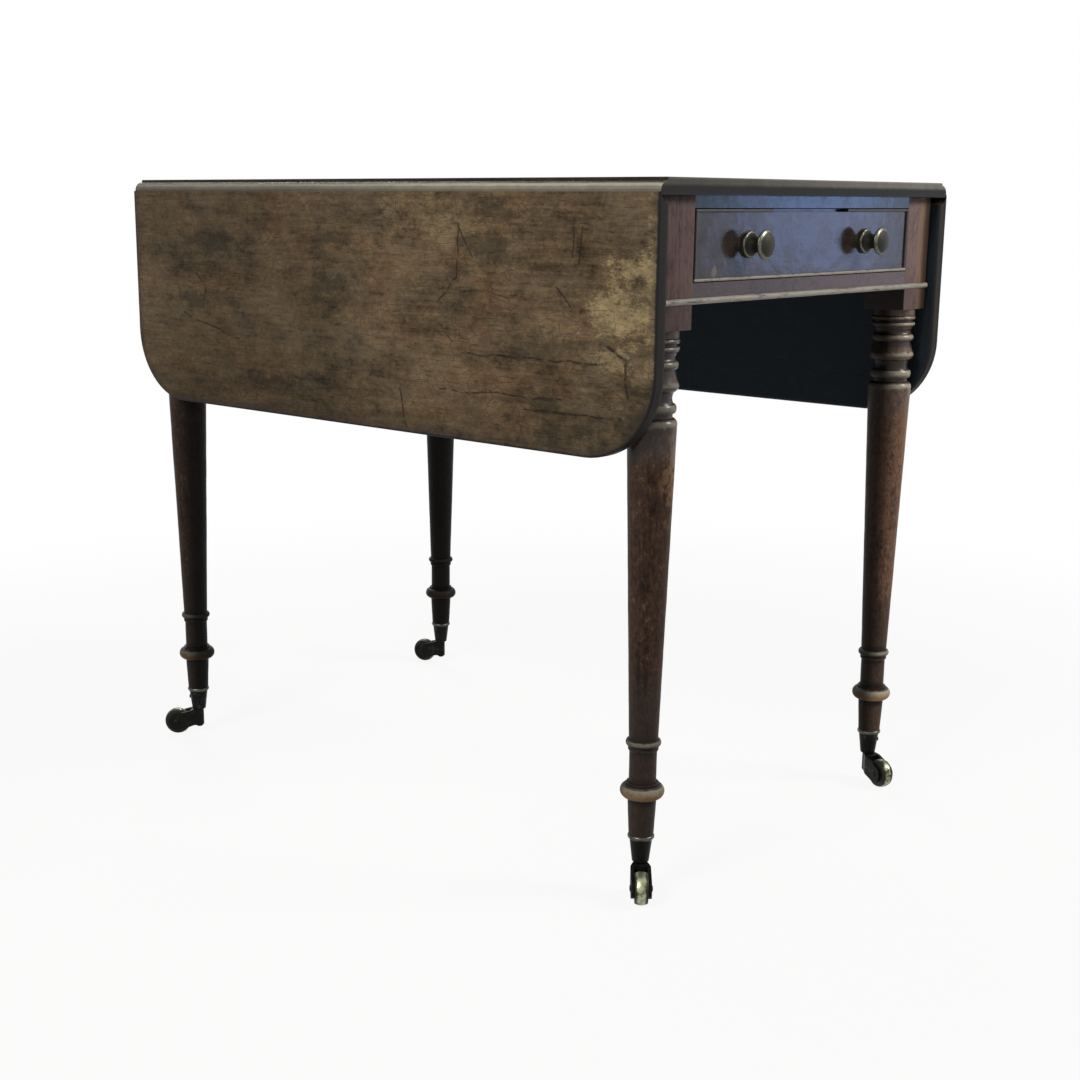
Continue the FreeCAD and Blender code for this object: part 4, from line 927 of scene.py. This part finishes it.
class FrameLook(bpy.types.PropertyGroup):
    """Finish of the frieze, the legs, the drawer and the beads."""

    frame_color: color_property("Frieze", "Red-brown wood", (0.088, 0.053, 0.046))
    # Frieze colour at its +X end, lighter as painted light
    painted_light_frame_color: color_property("Faded frieze", "Frieze at its lighter end", (0.148, 0.096, 0.088))
    leg_color: color_property("Legs", "Worn dark wood of the legs", (0.040, 0.022, 0.0145))
    drawer_color: color_property("Drawer", "Dark polish of the drawer", (0.030, 0.023, 0.020))
    shade_color: color_property("Shade", "Dark grain", (0.014, 0.008, 0.006))
    foot_color: color_property("Feet", "Grayer wood of the feet and rings", (0.024, 0.019, 0.016))
    worn_color: color_property("Worn", "Wood where the polish is gone", (0.150, 0.105, 0.070))
    tan_color: color_property("Tan", "Bare orange wood", (0.185, 0.110, 0.058))
    # Rubbed crests of the turnings, pale on top as a painted highlight
    crest_wear_and_highlight_color: color_property("Crests", "Rubbed crests of the turnings", (0.178, 0.168, 0.132))
    bead_color: color_property("Bead", "Beads rubbed bare", (0.230, 0.212, 0.178))
    # Polish left on the beads, and painted shade on the upper cockbead
    polish_and_shade_color: color_property("Bead polish", "Polish left on the beads", (0.026, 0.022, 0.021))
    bloom_color: color_property("Bloom", "Cloudy old polish", (0.036, 0.034, 0.044))
    # Blue tints of the gloss: painted reflection of a blue window
    painted_reflection_tint: color_property("Gloss tint", "Tint of the gloss", (0.74, 0.85, 1.0))
    rail_painted_reflection_tint: color_property("Rail tint", "Tint of the upper rail's gloss", (0.45, 0.76, 1.0))
    # Dirt in pores and hollows, and painted shade in the hollows, below the frieze and on the
    # blocks' inner faces
    grime_and_shade_color: color_property("Grime", "Dirt in the hollows", (0.008, 0.006, 0.005))
    segments: IntProperty(
        name="Segments", description="Faces round a turned piece", min=12, default=72
    )
    wobble: number_property("Wobble", "Unevenness of the turning", 0.0007, unit="LENGTH")


class InnerLook(bpy.types.PropertyGroup):
    """Finish of the bare woods inside."""

    pine_color: color_property("Pine", "Inner rails and runners", (0.200, 0.125, 0.062))
    beech_color: color_property("Beech", "Fly rails and brackets", (0.190, 0.110, 0.058))
    oak_color: color_property("Oak", "Drawer linings", (0.250, 0.165, 0.085))
    aged_color: color_property("Aged", "Dirt and age on bare wood", (0.060, 0.036, 0.020))


class MetalLook(bpy.types.PropertyGroup):
    """Finish of the brass and the iron."""

    bright_color: color_property("Wheel brass", "Rubbed treads of the wheels", (0.34, 0.355, 0.23))
    knob_color: color_property("Knob brass", "Rubbed brass of the knobs", (0.112, 0.110, 0.088))
    dark_color: color_property("Patina", "Dark patina on brass", (0.022, 0.021, 0.017))
    cup_color: color_property("Cup brass", "Rubbed brass of the cups", (0.070, 0.074, 0.062))
    black_color: color_property("Black", "Blackened brass of the casters", (0.006, 0.006, 0.005))
    iron_color: color_property("Iron", "Blackened iron", (0.040, 0.038, 0.036))
    rust_color: color_property("Rust", "Rust on iron", (0.090, 0.042, 0.022))


class StageLook(bpy.types.PropertyGroup):
    """Floor, light and camera."""

    floor_color: color_property("Floor", "Pale floor", (0.50, 0.50, 0.50))
    key_color: color_property("Key light", "Colour of the key light", (1.0, 0.97, 0.93))
    window_color: color_property("Window light", "Colour of the side light", (0.32, 0.48, 1.0))
    key_power: number_property("Key power", "Power of the key light", 80.0, unit="POWER")
    front_power: number_property(
        "Front power", "Power of the light on the drawer", 104.0, unit="POWER"
    )
    back_power: number_property("Back power", "Power of the light on the back", 60.0, unit="POWER")
    window_power: number_property("Window power", "Power of the side light", 1.15, unit="POWER")
    fill: number_property("Fill", "Strength of the light from all round", 0.09)
    lens: number_property("Lens", "Focal length on a 36 mm sensor", 53.384, unit="CAMERA")
    yaw: number_property(
        "Yaw", "Turn of the camera from +Y", math.radians(47.608), subtype="ANGLE"
    )
    pitch: number_property("Pitch", "Tilt of the camera", math.radians(-12.785), subtype="ANGLE")
    roll: number_property("Roll", "Roll of the camera", math.radians(0.335), subtype="ANGLE")
    camera_place: FloatVectorProperty(
        name="Camera place",
        description="Where the camera stands",
        subtype="TRANSLATION",
        default=(-1.4689, -1.3016, 0.6984),
    )
    shift: FloatVectorProperty(
        name="Shift",
        description="Shift of the lens across and up",
        size=2,
        default=(0.0378, 0.0216),
    )


class TableLook(bpy.types.PropertyGroup):
    """All the settings of the table."""

    board: PointerProperty(type=BoardLook)
    frame: PointerProperty(type=FrameLook)
    inner: PointerProperty(type=InnerLook)
    metal: PointerProperty(type=MetalLook)
    stage: PointerProperty(type=StageLook)


class TABLE_OT_boards(bpy.types.Operator):
    """Finishes the fixed top and the two leaves"""

    bl_idname = "table.boards"
    bl_label = "Top and leaves"

    def execute(self, context):
        look = context.scene.table_look.board
        paint(top_finish("top_finish", look, (2.0, 5.0, 8.0)), "top_board")
        paint(leaf_finish("left_leaf_finish", look, "left", NO_SHIFT), "left_leaf")
        paint(leaf_finish("right_leaf_finish", look, "right", (6.0, 3.0, 4.0)), "right_leaf")
        return {"FINISHED"}


class TABLE_OT_frieze(bpy.types.Operator):
    """Finishes the rails round the drawer, the back rail and the beads"""

    bl_idname = "table.frieze"
    bl_label = "Frieze"

    def execute(self, context):
        look = context.scene.table_look.frame
        rails = frame_finish("rail_finish", look, "X", (1.0, 2.0, 3.0), 0.85, 0.54)
        paint(rails, "drawer_bottom_rail", "back_rail")
        # Strong blue tint on the upper rail's gloss, a painted reflection
        gloss = (0.2, 0.42, look.rail_painted_reflection_tint)
        top_rail = drawer_finish("top_rail_finish", look, (8.0, 3.0, 1.0), *gloss)
        paint(top_rail, "drawer_top_rail")
        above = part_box("frieze_beads")[1].z + 1.0
        paint(bead_finish("bead_finish", look, "X", (4.0, 1.0, 2.0), above), "frieze_beads")
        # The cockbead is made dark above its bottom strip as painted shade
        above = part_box("drawer_cockbead")[0].z + 3.4 * MM
        strips = bead_finish("cockbead_finish", look, "X", (6.0, 2.0, 2.0), above)
        paint(strips, "dummy_drawer_cockbead", "drawer_cockbead")
        return {"FINISHED"}


class TABLE_OT_legs(bpy.types.Operator):
    """Turns the four legs, each under its square block"""

    bl_idname = "table.legs"
    bl_label = "Legs"

    @staticmethod
    def store_rub_and_facing(mesh, centre, profile):
        """Stores how much each point below the shoulder was rubbed and how far it faces in, which
        the finish uses for painted shade.
        """
        shoulder = max(height for height, _ in profile if height < 0.5)
        rubs, inwards = [], []
        for vertex in mesh.vertices:
            offset = (vertex.co - centre).xy.normalized()
            facing = 0.3 + 0.7 * offset.dot(Vector((0.85, -0.53)))
            drop = shoulder - vertex.co.z
            rubs.append(max(0.0, facing) * max(0.0, 1.0 - abs(drop - 0.05) / 0.10))
            inwards.append(-offset.dot(centre.xy.normalized()))
        store(mesh, "rub", rubs)
        store(mesh, "inward", inwards)

    def execute(self, context):
        look = context.scene.table_look.frame
        tree = turning_tree()
        column_finish = turned_finish("leg_finish", look, NO_SHIFT)
        block_finish = frame_finish("leg_block_finish", look, "Z", (5.0, 2.0, 1.0), 0.15, 1.0)
        for seed, (end, side) in enumerate(CORNERS):
            name = f"{end}_{side}"
            node = f"{name}_leg"
            low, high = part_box(node)
            centre = Vector(((low.x + high.x) / 2, (low.y + high.y) / 2, 0.0))
            half = (high.x - low.x) / 2
            points = [vertex.co for vertex in frame["nodes"][node].data.vertices]
            block_bottom = min(
                point.z for point in points if (point - centre).xy.length > 1.3 * half
            )
            cup_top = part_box(f"{name}_caster_cup")[1].z
            ends = (cup_top, block_bottom - 2 * HAIR)
            profile = turned_profile(node, centre, (0, 0, 1), *ends, 1.2 * half, 3.0 * MM)
            turning = (9.0 * MM, look.segments, look.wobble, seed, column_finish)
            place = [Matrix.Translation(centre)]
            mesh = turned_mesh(f"{name}_leg_column", tree, profile, *turning, place)
            self.store_rub_and_facing(mesh, centre, profile)
            wood = ("table_frame", "dark_mahogany")
            add_piece(f"{name}_leg_column", mesh, column_finish, *wood, node)
            bottom = Vector((low.x, low.y, block_bottom))
            block = solid_mesh("block", rounded_block(bottom, high, 0.7 * MM), BLOCK_ANGLE)
            add_piece(f"{name}_leg_block", block, block_finish, *wood)
        return {"FINISHED"}


class TABLE_OT_drawer(bpy.types.Operator):
    """Finishes the drawer front and its linings"""

    bl_idname = "table.drawer"
    bl_label = "Drawer"

    def execute(self, context):
        look = context.scene.table_look
        # Blue tint on the drawer's gloss, a painted reflection
        gloss = (1.0, 0.32, look.frame.painted_reflection_tint)
        polish = drawer_finish("drawer_front_finish", look.frame, (3.0, 6.0, 2.0), *gloss)
        paint(polish, "drawer_front")
        lining = (look.inner.oak_color, look.inner.aged_color)
        sides = plain_wood_finish("drawer_side_finish", *lining, "Y", (2.0, 8.0, 5.0))
        paint(sides, "drawer_left_side", "drawer_right_side")
        cross = plain_wood_finish("drawer_cross_finish", *lining, "X", (7.0, 1.0, 6.0))
        paint(cross, "drawer_back", "drawer_bottom")
        return {"FINISHED"}


class TABLE_OT_knobs(bpy.types.Operator):
    """Turns the knobs of the drawer and of the dummy drawer"""

    bl_idname = "table.knobs"
    bl_label = "Knobs"

    def execute(self, context):
        look = context.scene.table_look.metal
        brass = brass_finish("knob_finish", look.knob_color, look.dark_color, 0.1, NO_SHIFT, True)
        tree = turning_tree()
        pairs = (
            ("drawer_knobs", "drawer", (0, -1, 0)),
            ("dummy_drawer_knobs", "table_frame", (0, 1, 0)),
        )
        for seed, (node, body, axis) in enumerate(pairs):
            low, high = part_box(node)
            lengths = sorted((low.y * axis[1], high.y * axis[1]))
            radius = (high.z - low.z) / 2
            level = (low.z + high.z) / 2
            spots = [Vector((x, 0.0, level)) for x in (low.x + radius, high.x - radius)]
            profile = turned_profile(node, spots[0], axis, *lengths, 2 * radius, 0.8 * MM)
            places = [upright_on(spot, axis) for spot in spots]
            mesh = turned_mesh(node, tree, profile, 4.0 * MM, 48, 0.1 * MM, seed, brass, places)
            add_piece(f"turned_{node}", mesh, brass, body, "aged_brass", node)
        return {"FINISHED"}


class TABLE_OT_inner_frame(bpy.types.Operator):
    """Finishes the inner rails, fly rails, brackets, runners and blocks"""

    bl_idname = "table.inner_frame"
    bl_label = "Inner frame"

    def execute(self, context):
        look = context.scene.table_look.inner
        pine = (look.pine_color, look.aged_color, "Y", (1.0, 4.0, 9.0))
        pine = plain_wood_finish("pine_finish", *pine)
        paint(pine, "left_inner_rail", "right_inner_rail", "drawer_runners", "drawer_kickers")
        paint(pine, "drawer_stops", "glue_blocks")
        beech = (look.beech_color, look.aged_color, "Y", (5.0, 5.0, 1.0))
        beech = plain_wood_finish("beech_finish", *beech)
        paint(beech, "left_fly_rail", "right_fly_rail")
        paint(beech, *(f"{end}_{side}_fly_bracket" for end, side in CORNERS))
        return {"FINISHED"}


class TABLE_OT_casters(bpy.types.Operator):
    """Finishes the cups, horns, axles and wheels of the casters"""

    bl_idname = "table.casters"
    bl_label = "Casters"

    def execute(self, context):
        look = context.scene.table_look.metal
        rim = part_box("front_left_caster_cup")[1].z - 3.4 * MM
        cup = (look.cup_color, look.black_color, 0.05, (2.0, 1.0, 5.0))
        cup = brass_finish("caster_finish", *cup, rim=rim)
        # Wear of each wheel's tread, set lower on the back wheels as painted shade
        wear_and_shade = {"front_left": 0.24, "front_right": 0.13, "back_left": 0.10, "back_right": 0.05}
        tree = turning_tree()
        spins = {joint["child"]: joint for joint in frame["joints"]}
        for seed, (end, side) in enumerate(CORNERS):
            name = f"{end}_{side}_caster"
            paint(cup, f"{name}_cup", f"{name}_horn", f"{name}_axle")
            wear = wear_and_shade[f"{end}_{side}"]
            tread = (look.bright_color, look.dark_color, wear, (4.0, 4.0, 0.0), True)
            tread = brass_finish(f"{end}_{side}_wheel_finish", *tread)
            body = f"{end}_{side}_wheel"
            centre, axis = Vector(spins[body]["pos_m"]), spins[body]["axis"]
            node = f"{name}_wheel"
            low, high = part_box(node)
            radius = (high.z - low.z) / 2
            half = node_edges(node, centre, axis, 2 * radius)[0].max()
            profile = turned_profile(node, centre, axis, -half, half, 2 * radius, 0.8 * MM)
            place = [upright_on(centre, axis)]
            mesh = turned_mesh(node, tree, profile, 4.0 * MM, 48, 0.0, seed, tread, place)
            add_piece(f"turned_{node}", mesh, tread, body, "worn_brass", node)
        paint(cup, "caster_swivel_pins")
        screws = screw_tree().grow(screw_points("caster_cup_screws"), Seed=3, Material=cup)
        screws.shade_flat()
        add_piece("slotted_cup_screws", screws, cup, "table_frame", "old_iron", "caster_cup_screws")
        return {"FINISHED"}


class TABLE_OT_hinges(bpy.types.Operator):
    """Finishes the hinges, pins, screws and nuts"""

    bl_idname = "table.hinges"
    bl_label = "Hinges and screws"

    def execute(self, context):
        look = context.scene.table_look.metal
        iron = iron_finish("iron_finish", look.iron_color, look.rust_color)
        paint(iron, "top_hinge_plates", "left_leaf_hinge_plates", "right_leaf_hinge_plates")
        paint(iron, "hinge_pins", "bracket_pins", "top_screws", "knob_nuts")
        tree = screw_tree()
        for seed, body in enumerate(("table_frame", "left_leaf", "right_leaf")):
            node = f"{'top' if seed == 0 else body}_hinge_screws"
            screws = tree.grow(screw_points(node), Seed=seed, Material=iron)
            screws.shade_flat()
            add_piece(f"slotted_{node}", screws, iron, body, "old_iron", node)
        return {"FINISHED"}


def aimed_light(name, place, target, color, power, size):
    """An area light at a place, turned to a target."""
    lamp = bpy.data.lights.new(name, "AREA")
    lamp.color = color
    lamp.energy = power
    lamp.size = size
    holder = new_object(name, lamp)
    holder.location = place
    ahead = Vector(target) - Vector(place)
    holder.rotation_euler = ahead.to_track_quat("-Z", "Y").to_euler()


class TABLE_OT_stage(bpy.types.Operator):
    """Adds the floor, the light and the camera"""

    bl_idname = "table.stage"
    bl_label = "Stage"

    def floor(self, look):
        shape = bmesh.new()
        bmesh.ops.create_grid(shape, x_segments=1, y_segments=1, size=9.0)
        mesh = bpy.data.meshes.new("floor")
        shape.to_mesh(mesh)
        shape.free()
        finish = Finish("floor_finish")
        distance = (finish.along**2.0 + finish.across**2.0) ** 0.5
        path = self.seen_white(finish)
        share = path * (0.90 + 0.10 * rise(distance, 0.7, 1.8))
        plain = finish.node("ShaderNodeBsdfDiffuse", None, {"Color": (*look.floor_color, 1.0)})
        white = finish.node("ShaderNodeEmission", None, {"Strength": 1.0})
        surface = finish.node("ShaderNodeMixShader", None, {0: share, 1: plain, 2: white})
        finish.node("ShaderNodeOutputMaterial", None, {"Surface": surface})
        mesh.materials.append(finish.material)
        floor = new_object("floor", mesh)

    @staticmethod
    def seen_white(graph):
        """1 for the rays that see the white ground: from the camera, a gloss or a glass."""
        path = graph.node("ShaderNodeLightPath", output="Is Camera Ray").socket.node.outputs
        kinds = ("Camera", "Glossy", "Transmission")
        return strongest(Wire(graph, path[f"Is {kind} Ray"]) for kind in kinds)

    def world(self, look):
        world = bpy.data.worlds.new("studio")
        bpy.context.scene.world = world
        world.use_nodes = True
        world.node_tree.nodes.clear()
        graph = Graph(world.node_tree)
        strength = look.fill + (1.0 - look.fill) * self.seen_white(graph)
        sockets = {"Color": (1.0, 1.0, 1.0, 1.0), "Strength": strength}
        sky = graph.node("ShaderNodeBackground", None, sockets)
        graph.node("ShaderNodeOutputWorld", None, {"Surface": sky})

    def camera(self, look):
        eye = bpy.data.cameras.new("camera")
        eye.sensor_width = 36.0
        eye.lens = look.lens
        eye.shift_x, eye.shift_y = look.shift
        eye.clip_start = 0.05
        holder = new_object("camera", eye)
        level = math.cos(look.pitch)
        ahead = Vector(
            (math.sin(look.yaw) * level, math.cos(look.yaw) * level, math.sin(look.pitch))
        )
        right = Vector((math.cos(look.yaw), -math.sin(look.yaw), 0.0))
        above = right.cross(ahead)
        across = right * math.cos(look.roll) + above * math.sin(look.roll)
        above = above * math.cos(look.roll) - right * math.sin(look.roll)
        turn = Matrix((across, above, -ahead)).transposed().to_4x4()
        holder.matrix_world = Matrix.Translation(look.camera_place) @ turn
        bpy.context.scene.camera = holder

    def execute(self, context):
        look = context.scene.table_look.stage
        context.scene.view_settings.view_transform = "Standard"
        self.floor(look)
        self.world(look)
        leaf, front, back = (-0.27, 0.0, 0.58), (0.0, -0.39, 0.65), (0.1, 0.39, 0.60)
        pale, blue = look.key_color, look.window_color
        aimed_light("key", (-2.6, -0.3, 2.1), leaf, pale, look.key_power, 1.0)
        aimed_light("front", (1.6, -2.5, 2.3), front, pale, look.front_power, 1.1)
        aimed_light("window", (1.95, -1.59, 0.69), front, blue, look.window_power, 0.34)
        aimed_light("back", (1.4, 2.6, 2.3), back, pale, look.back_power, 1.4)
        self.camera(look)
        return {"FINISHED"}


class TABLE_PT_panel(bpy.types.Panel):
    """Lists the settings and the steps of the table"""

    bl_idname = "TABLE_PT_panel"
    bl_label = "Drop-leaf table"
    bl_space_type = "VIEW_3D"
    bl_region_type = "UI"
    bl_category = "Table"

    def draw(self, context):
        for operator in operators:
            self.layout.operator(operator.bl_idname)
        look = context.scene.table_look
        for group in (look.board, look.frame, look.inner, look.metal, look.stage):
            box = self.layout.box()
            for name in group.__annotations__:
                box.prop(group, name)


looks = (BoardLook, FrameLook, InnerLook, MetalLook, StageLook, TableLook)
operators = (
    TABLE_OT_boards,
    TABLE_OT_frieze,
    TABLE_OT_legs,
    TABLE_OT_drawer,
    TABLE_OT_knobs,
    TABLE_OT_inner_frame,
    TABLE_OT_casters,
    TABLE_OT_hinges,
    TABLE_OT_stage,
)


def register():
    for item in looks + operators + (TABLE_PT_panel,):
        bpy.utils.register_class(item)
    bpy.types.Scene.table_look = PointerProperty(type=TableLook)


def unregister():
    del bpy.types.Scene.table_look
    for item in reversed(looks + operators + (TABLE_PT_panel,)):
        bpy.utils.unregister_class(item)


def main():
    register()
    bpy.ops.table.boards()
    bpy.ops.table.frieze()
    bpy.ops.table.legs()
    bpy.ops.table.drawer()
    bpy.ops.table.knobs()
    bpy.ops.table.inner_frame()
    bpy.ops.table.casters()
    bpy.ops.table.hinges()
    bpy.ops.table.stage()


if __name__ == "__main__":
    main()
